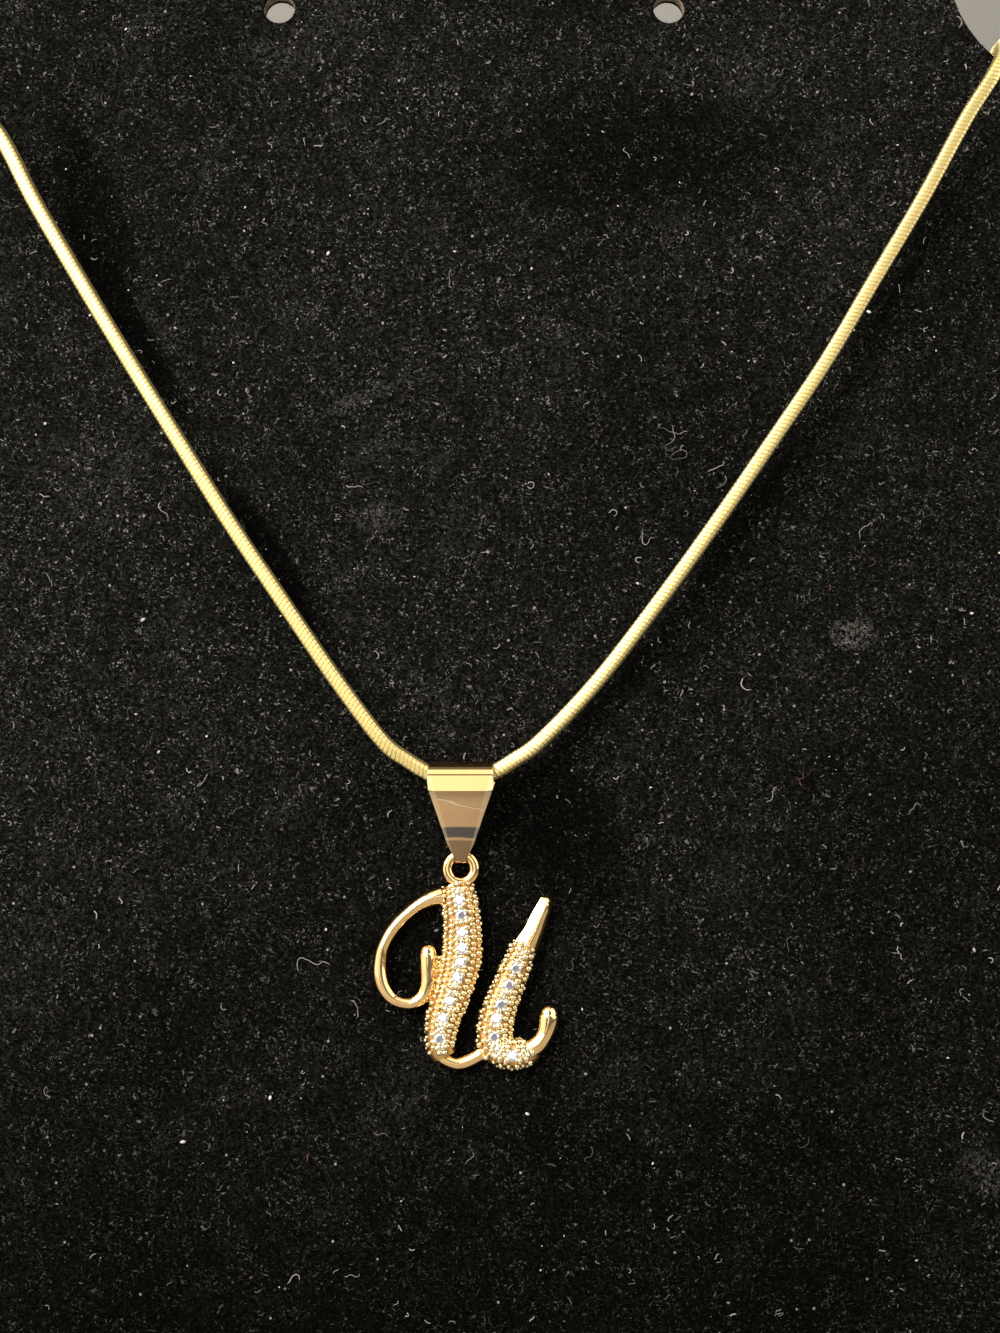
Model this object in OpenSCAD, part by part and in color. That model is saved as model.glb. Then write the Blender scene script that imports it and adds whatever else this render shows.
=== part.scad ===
// An initial pendant, a cast script letter U with set stones, hanging from a folded bail
// on a snake chain. The closed chain hangs over a velvet covered display board, which
// leans back on an easel strut. Millimetres, +Z up, the front faces -Y.

/* [Display board] */
// Thickness of the velvet covered board
board_t = 2.8; // [2.4:0.1:3.6]
// Height of the line where the chain crosses the shoulders, measured up the board
shoulder_h = 165; // [150:1:185]
// Height of the neck above that line
neck_rise = 30; // [20:1:45]
// Width of the neck
neck_w = 98.8; // [96:0.1:100]
// Width over the shoulders
shoulder_w = 176; // [160:1:200]
// Fall of the shoulders, in degrees
shoulder_fall = 25; // [22:1:28]
// Width of the base
base_w = 140; // [110:1:170]
// Radius of the hollow where the neck meets the shoulder
neck_hollow_r = 13.6; // [11:0.1:15]
// Radius of the shoulder's outer corner
shoulder_r = 16; // [8:1:24]
// Radius of the neck's top corners
neck_corner_r = 10; // [4:1:16]
// Radius of the base corners
base_corner_r = 6; // [2:1:12]
// Lean of the board behind the vertical, in degrees
lean_deg = 12; // [8:1:16]

/* [Earring holes] */
// Radius of the two holes
ear_hole_r = 1.65; // [1:0.05:3]
// Distance between the holes
ear_hole_pitch = 40.6; // [20:0.1:60]
// Height of the holes above the chain's crossing line
ear_hole_rise = 5.6; // [3:0.1:20]

/* [Easel strut] */
// Thickness of the strut
strut_t = 2.4; // [2:0.1:3.4]
// Width of the strut where it joins the board
strut_top_w = 34; // [24:1:44]
// Width of the strut's foot
strut_foot_w = 44; // [34:1:60]
// Angle between the strut and the board, in degrees
strut_deg = 24; // [22:1:30]
// Fall of the strut's top edge below the crossing line
strut_drop = 20; // [12:1:26]
// Gap between the strut's top edge and the board
strut_gap = 0.1; // [0.05:0.05:0.2]

/* [Chain] */
// Width across the snake chain
chain_d = 1.3; // [1:0.05:1.4]

/* [Clasp] */
// Diameter of the clasp's barrel
clasp_d = 3; // [2.4:0.1:4]
// Length of the clasp
clasp_l = 10; // [8:0.5:13]
// Diameter of the clasp's end collars
clasp_collar_d = 2.1; // [1.8:0.1:2.3]
// Length of each end collar
clasp_collar_l = 1.6; // [1:0.1:2.4]
// Gap between a collar and the end of the chain
clasp_gap = 0.2; // [0.15:0.01:0.3]

/* [Bail] */
// Thickness of the bail's sheet
bail_sheet = 0.32; // [0.25:0.01:0.36]
// Outer radius of the bend that hangs on the chain
bail_bend_r = 2.25; // [2.15:0.01:2.4]
// Width of the bail at its top edge
bail_top_w = 6.2; // [5.6:0.1:6.4]
// Width of the bail at its widest, just below the bend
bail_wide_w = 6.75; // [6.5:0.05:7.2]
// Width of the bail's throat, level with the letter's ring
bail_throat_w = 2.04; // [1.8:0.01:2.1]
// Width of the strip that passes through the letter's ring
bail_strip_w = 1.2; // [0.9:0.05:1.25]
// Distance from the chain's axis down to the ring's axis
bail_drop = 7.75; // [7:0.05:9]
// Width of the bevels along the front face, at the bail's widest
bail_bevel_w = 0.7; // [0.4:0.01:0.9]
// Depth of those bevels at the bail's edges, at its widest
bail_bevel_t = 0.18; // [0.1:0.01:0.2]
// Gap between the chain and the top bend at the bail's two edges
bail_gap = 0.16; // [0.12:0.01:0.2]

/* [Letter] */
// Height of the letter from the top of its left stem to its foot
letter_h = 18.25; // [16:0.25:21]
// Width of the letter over the swash and the hook
letter_w = 18.05; // [16:0.25:21]
// Greatest width of a stone set stem
stem_w = 4; // [3.4:0.1:4.4]
// Thickness of the stems
stem_t = 1.9; // [1.7:0.1:2.3]
// Width of the swash wire
swash_w = 1.2; // [1:0.05:1.5]
// Thickness of the swash wire
swash_t = 1.3; // [1:0.05:1.6]
// Width of the bar that joins the stems, and of the hook
bar_w = 1.45; // [1.2:0.05:1.7]
// Thickness of that bar and of the hook
bar_t = 1.4; // [1.1:0.05:1.7]
// Width of the pointed tip at its base
tip_w = 2.35; // [1.9:0.05:2.6]
// Thickness of the pointed tip at its base
tip_t = 1.55; // [1.2:0.05:1.8]
// Height of the low flank between the curl and the left stem
flank_t = 0.95; // [0.7:0.05:1.2]
// Gap between the pendant's back and the velvet
velvet_gap = 0.3; // [0.2:0.05:0.5]

/* [Ring] */
// Outer diameter of the letter's ring
ring_d = 3.72; // [3.6:0.02:4.2]
// Thickness of the ring's wire
ring_wire = 0.86; // [0.7:0.02:0.9]
// Gap between the ring's wire and the bail's lower bend
ring_gap = 0.3; // [0.26:0.01:0.34]
// Depth that the ring is sunk into the top of the stem
ring_sink = 0.35; // [0.25:0.05:0.5]

/* [Stones] */
// Diameter of a stone
stone_d = 1.16; // [0.9:0.02:1.3]
// Diameter of a stone's table, as a share of the stone
stone_table = 0.56; // [0.5:0.01:0.65]
// Height of the crown above the girdle, as a share of the stone
stone_crown = 0.16; // [0.12:0.01:0.2]
// Depth of the pavilion below the girdle, as a share of the stone
stone_pavilion = 0.42; // [0.36:0.01:0.45]
// Thickness of the girdle
stone_girdle = 0.04; // [0.02:0.01:0.06]
// Height of the girdle's top above the stem's crest
stone_proud = 0.02; // [-0.05:0.01:0.06]
// Gap between a stone and its seat
seat_gap = 0.03; // [0.02:0.01:0.05]

/* [Hidden] */
CHAIN_SIDES = 8;
CORNER_STEPS = 8;
WIRE_SIDES = 12;
RING_STEPS = 32;
CURVE_STEPS = 3;
BEND_STEPS = 24;
FACETS = 8;
EPS = 0.01;
BIG = 400;

// Route of the chain's centre line, from the clasp round the left shoulder to the bail, and
// on over the right shoulder to the clasp. Columns: to the right of the board's middle, out
// from the board's front face, up from the crossing line.
LEFT_ROUTE = [
    [-8.0, -26.6, -98.8], [-13.1, -26.0, -96.0], [-20.0, -24.8, -90.8],
    [-25.8, -23.5, -84.3], [-30.6, -21.9, -77.1], [-34.6, -20.3, -69.6],
    [-38.2, -18.7, -61.7], [-41.3, -17.0, -53.7], [-44.0, -15.2, -45.6],
    [-46.5, -13.5, -37.4], [-48.7, -11.7, -29.1], [-50.8, -10.0, -20.8],
    [-52.8, -8.2, -12.4], [-54.2, -6.6, -5.4], [-54.6, -5.4, -1.4],
    [-54.6, -3.6, 0.7], [-54.6, -1.5, 1.0], [-54.5, 0.7, 0.9],
    [-54.2, 2.8, -0.4], [-53.1, 4.3, -3.0], [-51.5, 4.7, -5.8],
    [-47.8, 4.6, -9.9], [-44.3, 4.4, -16.5], [-39.5, 4.2, -24.7],
    [-34.5, 4.0, -32.9], [-29.5, 3.8, -40.9], [-24.4, 3.5, -49.0],
    [-19.0, 3.3, -57.0], [-13.5, 3.0, -65.0], [-9.0, 2.8, -70.9],
    [-6.5, 2.6, -72.85], [-4.3, 2.55, -74.15], [-2.6, 2.55, -74.6],
    [-1.28, 2.55, -74.65]
];
RIGHT_ROUTE = [
    [-1.12, 2.55, -74.65], [0.2, 2.55, -74.6], [1.9, 2.55, -74.15],
    [4.1, 2.6, -72.85], [6.8, 2.8, -70.9], [12.4, 3.0, -65.0], [18.6, 3.3, -57.0],
    [24.4, 3.5, -49.0], [30.0, 3.8, -40.9], [35.4, 4.0, -32.9],
    [40.3, 4.2, -24.7], [45.2, 4.4, -16.5], [49.7, 4.6, -8.3],
    [52.3, 4.7, -4.2], [53.7, 4.0, -1.6], [54.3, 2.4, 0.2],
    [54.6, 0.5, 0.9], [54.6, -1.6, 1.0], [54.6, -3.6, 0.7],
    [54.6, -5.4, -1.4], [54.2, -6.6, -5.4], [52.8, -8.2, -12.4],
    [50.8, -10.0, -20.8], [48.7, -11.7, -29.1], [46.5, -13.5, -37.4],
    [44.0, -15.2, -45.6], [41.3, -17.0, -53.7], [38.2, -18.7, -61.7],
    [34.6, -20.3, -69.6], [30.6, -21.9, -77.1], [25.8, -23.5, -84.3],
    [20.0, -24.8, -90.8], [13.1, -26.0, -96.0], [8.0, -26.6, -98.8]
];
CLASP_AT = [0, -26.7, -99.2];
// Height of the chain's upper side where it enters the bail, and of the axis it gives
CHAIN_IN_BAIL = -74.09 + chain_d / 2;
CHAIN_AXIS = [-1.2, 2.55, -74.4];
// Point that the shoulder's sloping edge is drawn through, so that it carries the chain
SHOULDER_POINT = [49.4, 1.92];
// Top of the bail's narrow strip and foot of its taper, measured up from the ring's axis
STRIP_TOP = -0.35;
TAPER_FOOT = 0.12;

PENDANT_X = CHAIN_AXIS[0];
bail_bend_in = bail_bend_r - bail_sheet;
bail_top_at = [velvet_gap + bail_bend_r, CHAIN_IN_BAIL + bail_gap - bail_bend_in];
foot_bend_in = ring_wire / 2 + ring_gap;
foot_bend_r = foot_bend_in + bail_sheet;
ring_axis_at = [velvet_gap + foot_bend_r, CHAIN_AXIS[2] - bail_drop];
ring_mean_r = (ring_d - ring_wire) / 2;
stem_top = 2 * ring_mean_r + ring_wire / 2 - ring_sink;

strut_top = shoulder_h - strut_drop;
strut_at = board_t + strut_gap;
strut_len = (strut_top * cos(lean_deg) - strut_at * sin(lean_deg)) / cos(strut_deg - lean_deg);
strut_foot_y = strut_at * cos(lean_deg) + strut_top * sin(lean_deg)
    + strut_len * sin(strut_deg - lean_deg) + strut_t / cos(strut_deg - lean_deg);
mid_y = strut_foot_y / 2;

// Strokes of the letter. Columns: across in percent of the letter's width, down from the
// stem's top in percent of its height, width and thickness in percent of the stroke's own.
LEFT_STEM = [
    [-3.0, 0, 69, 84], [-1.6, 4.8, 88, 96], [-0.5, 10.2, 92, 100], [0.4, 16.1, 93, 100],
    [1.0, 28.5, 97, 100], [0.7, 38.2, 100, 100], [-1.1, 47.8, 97, 100], [-4.6, 59.7, 92, 100],
    [-7.1, 65.6, 91, 100], [-9.3, 71.5, 87, 100], [-10.6, 77.4, 84, 100],
    [-11.3, 83.3, 77, 100], [-10.6, 88.7, 74, 96], [-8.4, 93, 62, 84]
];
RIGHT_STEM = [
    [35.1, 32.3, 58, 86], [33.1, 37.6, 69, 97], [30, 46, 76, 100], [26.7, 53.8, 79, 100],
    [22.9, 62.9, 84, 100], [20.2, 70.4, 87, 100], [18.8, 78, 91, 100], [18.5, 84.4, 91, 100],
    [19.9, 90.3, 79, 97], [21.5, 95.2, 50, 84]
];
FOOT = [
    [16.6, 86, 50, 90], [18.6, 88.8, 66, 97], [22.6, 90.6, 76, 100], [28, 91.7, 76, 100],
    [33.5, 91.1, 75, 100], [37.9, 89.8, 66, 95], [41.1, 88.2, 46, 80]
];
SWASH = [
    [-10.1, 6.5, 139, 100], [-17.7, 8.3, 115, 100], [-26.2, 13.4, 98, 96], [-36.2, 22.8, 98, 92],
    [-42.5, 33.6, 94, 92], [-44.2, 41.9, 103, 94], [-44.1, 49.5, 109, 96], [-41.7, 56.7, 103, 96],
    [-36.8, 62.3, 94, 94], [-29.2, 64.5, 92, 94], [-23.7, 62.9, 102, 98], [-19.6, 58.9, 115, 100],
    [-17.9, 52.7, 115, 104], [-18.1, 45.2, 115, 106], [-18.1, 39.2, 122, 106], [-18, 35.2, 72, 80]
];
FLANK = [
    [-13.8, 38.5, 40, 80], [-13, 45, 66, 100], [-13.2, 51.5, 82, 100],
    [-14.7, 58, 82, 100], [-16.6, 63, 60, 90]
];
BAR = [
    [-13.4, 90.3, 81, 90], [-9.5, 93.8, 88, 96], [-3, 96.5, 91, 100], [1.4, 96.1, 98, 100],
    [5.7, 94.4, 101, 100], [10.6, 91.7, 101, 100], [15.5, 88.2, 101, 100]
];
HOOK = [
    [37.3, 89.2, 115, 104], [42, 86.3, 111, 104], [45.2, 82.3, 98, 100], [47.1, 78, 98, 98],
    [48, 73.7, 101, 96], [48.4, 70.4, 84, 92], [48.6, 68.2, 46, 70]
];
TIP = [
    [34.6, 34.9, 100, 100], [36.8, 30.6, 94, 98], [39, 25.8, 81, 92], [41.1, 19.9, 70, 84],
    [43.7, 14.5, 60, 76], [45.5, 10.5, 48, 66], [46.4, 7.7, 20, 44]
];

// Cross sections of the strokes. Columns: across in half widths, out from the back in
// thicknesses.
DOMED = [
    [-0.86, 0], [0.86, 0], [1, 0.12], [1, 0.5], [0.74, 0.8], [0.4, 0.97], [0, 1],
    [-0.4, 0.97], [-0.74, 0.8], [-1, 0.5], [-1, 0.12]
];
ROUND = [
    [-0.7, 0], [0.7, 0], [1, 0.22], [1, 0.5], [0.82, 0.78], [0.42, 0.96],
    [-0.42, 0.96], [-0.82, 0.78], [-1, 0.5], [-1, 0.22]
];
RIDGED = [[-0.8, 0], [0.8, 0], [1, 0.14], [1, 0.3], [0.2, 1], [0.02, 1], [-1, 0.3], [-1, 0.14]];

// Places of the stones, in rows of their stem's table
LEFT_STONES = [1.75, 3.05, 3.8, 4.6, 5.4, 6.2, 7.45, 9.05, 10.9];
RIGHT_STONES = [1.9, 3.05, 4.2, 5.25, 6.6];
FOOT_STONES = [3.1];

STONES = len(LEFT_STONES) + len(RIGHT_STONES) + len(FOOT_STONES);

function unit(v) = v / norm(v);

// A point of a table at a row that need not be whole, on a smooth curve through its rows
function row_at(rows, t) =
    let (
        last = len(rows) - 1,
        i = min(floor(t), last - 1),
        f = t - i,
        a = rows[max(i - 1, 0)],
        b = rows[i],
        c = rows[i + 1],
        d = rows[min(i + 2, last)]
    )
    b + f * (c - a) / 2
    + f * f * (2 * a - 5 * b + 4 * c - d) / 2
    + f * f * f * (3 * b - 3 * c + d - a) / 2;

function letter_point(row) = [
    PENDANT_X + letter_w * row[0] / 100,
    ring_axis_at[1] - stem_top - letter_h * row[1] / 100
];

// Faces of a tube of rings that each have the same number of points
function tube_faces(rings, sides) = concat(
    [[for (j = [0:sides - 1]) j]],
    [
        for (i = [0:rings - 2], j = [0:sides - 1])
        let (k = (j + 1) % sides, low = i * sides, high = low + sides)
        each [[low + j, high + j, high + k], [low + j, high + k, low + k]]
    ],
    [[for (j = [sides - 1:-1:0]) (rings - 1) * sides + j]]
);

// One stroke of the letter, flat on its back, swept along the curve through its rows
module stroke(rows, width, thickness, section) {
    last = len(rows) - 1;
    sides = len(section);
    stops = [for (i = [0:last * CURVE_STEPS]) i / CURVE_STEPS];
    table = [for (t = stops) row_at(rows, t)];
    centre = [for (row = table) letter_point(row)];
    count = len(centre);
    points = [
        for (i = [0:count - 1])
        let (
            along = unit(centre[min(i + 1, count - 1)] - centre[max(i - 1, 0)]),
            half = width * table[i][2] / 200,
            high = thickness * table[i][3] / 100
        )
        for (s = section)
        [
            centre[i][0] - along[1] * half * s[0],
            -velvet_gap - high * s[1],
            centre[i][1] + along[0] * half * s[0]
        ]
    ];
    polyhedron(points, tube_faces(count, sides));
}

// Normals carried along a route without twist, one for each point
function carried(tangents, i = 0, sofar = []) =
    i == len(tangents) ? sofar :
    let (
        from = i == 0 ? [0, 0.3, 1] : sofar[i - 1],
        flat = unit(from - (from * tangents[i]) * tangents[i])
    )
    carried(tangents, i + 1, concat(sofar, [flat]));

module tube(route, diameter, sides) {
    places = [for (p = route) [p[0], -p[1], p[2]]];
    last = len(places) - 1;
    tangents = [for (i = [0:last]) unit(places[min(i + 1, last)] - places[max(i - 1, 0)])];
    normals = carried(tangents);
    points = [
        for (i = [0:last], j = [0:sides - 1])
        let (turn = 360 * j / sides, side = cross(tangents[i], normals[i]))
        places[i] + diameter / 2 * (cos(turn) * normals[i] + sin(turn) * side)
    ];
    polyhedron(points, tube_faces(len(places), sides));
}

// Points of the arc that rounds the corner b of the path a, b, c
function corner(a, b, c, r) =
    let (
        u = unit(a - b),
        v = unit(c - b),
        half = acos(u * v) / 2,
        reach = r / tan(half),
        middle = b + unit(u + v) * r / sin(half),
        first = unit(b + u * reach - middle),
        last = unit(b + v * reach - middle),
        sweep = atan2(first[0] * last[1] - first[1] * last[0], first * last)
    )
    [
        for (k = [0:CORNER_STEPS])
        let (w = sweep * k / CORNER_STEPS)
        middle + r * [first[0] * cos(w) - first[1] * sin(w), first[0] * sin(w) + first[1] * cos(w)]
    ];

// The board's outline, in the board's plane, with the crossing line at zero
function board_outline() =
    let (
        neck = neck_w / 2,
        side = shoulder_w / 2,
        root = SHOULDER_POINT[1] - (neck - SHOULDER_POINT[0]) * tan(shoulder_fall),
        edge = root - (side - neck) * tan(shoulder_fall),
        right = [
            [base_w / 2, -shoulder_h, base_corner_r],
            [side, edge, shoulder_r],
            [neck, root, neck_hollow_r],
            [neck, neck_rise, neck_corner_r]
        ],
        left = [for (i = [3:-1:0]) [-right[i][0], right[i][1], right[i][2]]],
        all = concat(right, left),
        count = len(all)
    )
    [
        for (i = [0:count - 1])
        let (
            a = all[(i + count - 1) % count],
            b = all[i],
            c = all[(i + 1) % count]
        )
        each corner([a[0], a[1]], [b[0], b[1]], [c[0], c[1]], b[2])
    ];

// Sets what is drawn against the upright board at its place on the leaning one
module on_board() {
    translate([0, -mid_y, 0])
        rotate([-lean_deg, 0, 0])
            translate([0, 0, shoulder_h])
                children();
}

module above_floor() {
    difference() {
        children();
        translate([-BIG / 2, -BIG / 2, -BIG])
            cube([BIG, BIG, BIG]);
    }
}

module display_board() {
    color("#141416")
        above_floor()
            on_board()
                difference() {
                    translate([0, board_t, 0])
                        rotate([90, 0, 0])
                            linear_extrude(board_t)
                                polygon(board_outline());
                    for (side = [-1, 1])
                        translate([side * ear_hole_pitch / 2, -1, ear_hole_rise])
                            rotate([-90, 0, 0])
                                cylinder(r = ear_hole_r, h = board_t + 2, $fn = 48);
                }
}

module easel_strut() {
    reach = strut_len + strut_t;
    color("#1b1b1d")
        above_floor()
            on_board()
                difference() {
                    translate([0, strut_at, -strut_drop])
                        rotate([strut_deg, 0, 0])
                            translate([0, strut_t, 0])
                                rotate([90, 0, 0])
                                    linear_extrude(strut_t)
                                        polygon([
                                            [-strut_foot_w / 2, -reach],
                                            [strut_foot_w / 2, -reach],
                                            [strut_top_w / 2, strut_t],
                                            [-strut_top_w / 2, strut_t]
                                        ]);
                    translate([-BIG / 2, strut_at - BIG, -BIG / 2])
                        cube([BIG, BIG, BIG]);
                }
}

module chain_left() {
    end = CLASP_AT - [clasp_l / 2 + clasp_gap, 0, 0];
    color("#e8cf8a")
        on_board()
            tube(concat([end], LEFT_ROUTE), chain_d, CHAIN_SIDES);
}

module chain_right() {
    end = CLASP_AT + [clasp_l / 2 + clasp_gap, 0, 0];
    color("#e8cf8a")
        on_board()
            tube(concat(RIGHT_ROUTE, [end]), chain_d, CHAIN_SIDES);
}

module clasp() {
    body_l = clasp_l - 2 * clasp_collar_l;
    color("#e3c377")
        on_board()
            translate([CLASP_AT[0], -CLASP_AT[1], CLASP_AT[2]])
                rotate([0, 90, 0])
                    union() {
                        cylinder(d = clasp_d, h = body_l, center = true, $fn = 48);
                        cylinder(d = clasp_collar_d, h = clasp_l, center = true, $fn = 48);
                    }
}

// The bail's side view at one of its two surfaces: an arc over the chain, an arc under the
// ring, and the two straight lines that touch both
BAIL_TOP = [-bail_top_at[0], bail_top_at[1]];
BAIL_FOOT = [-ring_axis_at[0], ring_axis_at[1]];
bail_span = BAIL_FOOT - BAIL_TOP;
bail_down = atan2(bail_span[1], bail_span[0]);
bail_quarter = 90 - asin((bail_bend_r - foot_bend_r) / norm(bail_span));

function arc(middle, r, from, sweep) = [
    for (k = [0:BEND_STEPS])
    let (a = from + sweep * k / BEND_STEPS)
    middle + r * [cos(a), sin(a)]
];

function bail_side(top_r, foot_r) = concat(
    arc(BAIL_TOP, top_r, bail_down + bail_quarter, 360 - 2 * bail_quarter),
    arc(BAIL_FOOT, foot_r, bail_down - bail_quarter, 2 * bail_quarter)
);

// Half the width of the tapering part of the bail at a height
function bail_half(z) =
    let (foot = BAIL_FOOT[1] + TAPER_FOOT, share = (z - foot) / (BAIL_TOP[1] - foot))
    (bail_throat_w + share * (bail_wide_w - bail_throat_w)) / 2;

module bail_front() {
    half = [
        [bail_strip_w / 2, BAIL_FOOT[1] - 2 * foot_bend_r],
        [bail_strip_w / 2, BAIL_FOOT[1] + STRIP_TOP],
        [bail_throat_w / 2, BAIL_FOOT[1] + TAPER_FOOT],
        [bail_wide_w / 2, BAIL_TOP[1]],
        [bail_top_w / 2, BAIL_TOP[1] + bail_bend_r + EPS]
    ];
    last = len(half) - 1;
    polygon(concat(half, [for (i = [last:-1:0]) [-half[i][0], half[i][1]]]));
}

// What the bevel takes off the right edge of the front face: a block over the face, with its
// underside falling from the bevel's inner line to the bail's edge
module bail_bevel() {
    out = [cos(bail_down - bail_quarter), sin(bail_down - bail_quarter)];
    along = [-out[1], out[0]];
    length = (BAIL_FOOT - BAIL_TOP) * along;
    inner = 1 - 2 * bail_bevel_w / bail_wide_w;
    slope = bail_bevel_t / bail_bevel_w;
    points = [
        for (t = [-bail_bevel_w, length + ring_wire / 2])
        let (
            face = BAIL_TOP + bail_bend_r * out + t * along,
            edge = bail_half(face[1]),
            wide = edge + bail_sheet
        )
        for (p = [
            [inner * edge, 0],
            [wide, slope * (inner * edge - wide)],
            [wide, bail_sheet],
            [inner * edge, bail_sheet]
        ])
        [p[0], face[0] + p[1] * out[0], face[1] + p[1] * out[1]]
    ];
    hull()
        polyhedron(points, tube_faces(2, 4));
}

module bail() {
    outer = bail_side(bail_bend_r, foot_bend_r);
    inner = bail_side(bail_bend_in, foot_bend_in);
    function ring(first) = [for (k = [0:len(outer) - 1]) first + k];
    color("#d9a877")
        on_board()
            translate([PENDANT_X, 0, 0])
                difference() {
                    intersection() {
                        translate([-bail_wide_w, 0, 0])
                            rotate([90, 0, 90])
                                linear_extrude(2 * bail_wide_w)
                                    polygon(concat(outer, inner), [ring(0), ring(len(outer))]);
                        translate([0, BIG / 2, 0])
                            rotate([90, 0, 0])
                                linear_extrude(BIG)
                                    bail_front();
                    }
                    bail_bevel();
                    mirror([1, 0, 0])
                        bail_bevel();
                }
}

// The stem's own axes at a stone: its crest, and the height of that crest above the back
function stone_spot(rows, t) =
    let (
        row = row_at(rows, t),
        p = letter_point(row)
    )
    [p[0], -velvet_gap - stem_t * row[3] / 100 - stone_proud, p[1]];

STONE_SPOTS = concat(
    [for (t = LEFT_STONES) stone_spot(LEFT_STEM, t)],
    [for (t = RIGHT_STONES) stone_spot(RIGHT_STEM, t)],
    [for (t = FOOT_STONES) stone_spot(FOOT, t)]
);

// A hollow with the stone's own outline, larger by the seat's gap all round
module seat(spot) {
    translate(spot)
        rotate([90, 0, 0])
            hull() {
                translate([0, 0, -stone_girdle])
                    cylinder(d = stone_d + 2 * seat_gap, h = stem_t, $fn = 16);
                translate([0, 0, -stone_girdle - stone_pavilion * stone_d - seat_gap])
                    cylinder(r = 4 * seat_gap, h = EPS, $fn = 8);
            }
}

module letter() {
    color("#e0b060")
        on_board()
            difference() {
                union() {
                    stroke(LEFT_STEM, stem_w, stem_t, DOMED);
                    stroke(RIGHT_STEM, stem_w, stem_t, DOMED);
                    stroke(FOOT, stem_w, stem_t, DOMED);
                    stroke(SWASH, swash_w, swash_t, ROUND);
                    stroke(FLANK, swash_w, flank_t, ROUND);
                    stroke(BAR, bar_w, bar_t, ROUND);
                    stroke(HOOK, bar_w, bar_t, ROUND);
                    stroke(TIP, tip_w, tip_t, RIDGED);
                    translate([PENDANT_X, -ring_axis_at[0], ring_axis_at[1] - ring_mean_r])
                        rotate([90, 0, 0])
                            rotate_extrude($fn = RING_STEPS)
                                translate([ring_mean_r, 0])
                                    circle(d = ring_wire, $fn = WIRE_SIDES);
                }
                for (spot = STONE_SPOTS)
                    seat(spot);
            }
}

// A cut stone with its girdle's top at the origin: a table, a crown of kites and stars, a
// girdle and a pavilion
module cut_stone() {
    half_turn = 180 / FACETS;
    girdle = stone_d / 2;
    points = concat(
        [for (k = [0:FACETS - 1])
            let (a = k * 2 * half_turn + half_turn)
            [stone_table * girdle * cos(a), stone_table * girdle * sin(a), stone_crown * stone_d]],
        [for (z = [0, -stone_girdle], k = [0:FACETS - 1])
            let (a = k * 2 * half_turn)
            [girdle * cos(a), girdle * sin(a), z]],
        [[0, 0, -stone_girdle - stone_pavilion * stone_d]]
    );
    culet = 3 * FACETS;
    polyhedron(points, concat(
        [[for (k = [FACETS - 1:-1:0]) k]],
        [for (k = [0:FACETS - 1])
            let (n = (k + 1) % FACETS, a = FACETS + k, b = FACETS + n, c = a + FACETS, d = b + FACETS)
            each [[k, b, a], [k, n, b], [a, b, d], [a, d, c], [c, d, culet]]]
    ));
}

module stone(i) {
    color("#f2f0f4")
        on_board()
            translate(STONE_SPOTS[i - 1])
                rotate([90, 0, 0])
                    cut_stone();
}

display_board();
easel_strut();
chain_left();
chain_right();
clasp();
bail();
letter();
for (i = [1:STONES]) stone(i);
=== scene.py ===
"""An initial pendant, a cast script letter with set stones, on a folded bail and a snake chain.

The closed chain hangs over a leaning velvet display board. Every piece is built in the
board's own millimetres, with the board upright and the line where the chain crosses its
shoulders at height zero, and is then leaned and scaled into the shared frame.
"""
import logging
import math
import random
from dataclasses import dataclass, field
from enum import Enum
from typing import Iterable, Sequence

import bmesh
import bpy
import numpy as np
from mathutils import Matrix, Vector
from mathutils.bvhtree import BVHTree


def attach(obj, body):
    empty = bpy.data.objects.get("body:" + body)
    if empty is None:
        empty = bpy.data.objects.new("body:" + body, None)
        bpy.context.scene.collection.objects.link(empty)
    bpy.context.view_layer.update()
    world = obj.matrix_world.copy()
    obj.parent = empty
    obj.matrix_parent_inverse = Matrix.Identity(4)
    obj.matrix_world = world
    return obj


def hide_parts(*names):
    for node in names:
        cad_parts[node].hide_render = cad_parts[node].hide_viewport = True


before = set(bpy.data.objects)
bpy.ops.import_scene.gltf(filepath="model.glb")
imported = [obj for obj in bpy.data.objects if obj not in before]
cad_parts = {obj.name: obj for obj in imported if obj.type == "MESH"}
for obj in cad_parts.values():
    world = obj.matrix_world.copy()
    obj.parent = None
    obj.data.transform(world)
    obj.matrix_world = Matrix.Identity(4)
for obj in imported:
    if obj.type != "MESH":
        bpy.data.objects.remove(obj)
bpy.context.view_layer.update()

log = logging.getLogger("pendant")

MM = 0.001
LEAN = math.radians(12.0)
MID_Y = 32.7282
SHOULDER_H = 165.0
PENDANT_X = -1.2
VELVET_GAP = 0.3
FORWARD = Vector((0, -1, 0))
PATTERN_TURN = (0.61, 0.93, 0.37)
RING_AXIS = Vector((PENDANT_X, -1.35, -82.15))
SETTING = (
    Matrix.Scale(MM, 4)
    @ Matrix.Translation((0.0, -MID_Y, 0.0))
    @ Matrix.Rotation(-LEAN, 4, "X")
    @ Matrix.Translation((0.0, 0.0, SHOULDER_H))
)


class Body(Enum):
    """The moving bodies that pieces ride on."""

    DISPLAY = "display"
    BAIL = "bail"
    PENDANT = "pendant"


class Slot(Enum):
    """Names of the material slots."""

    VELVET = "velvet"
    CHAIN = "chain_gold"
    POLISHED = "polished_gold"
    CAST = "cast_gold"
    STONE = "stone"


# ---- shader building ----


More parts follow.
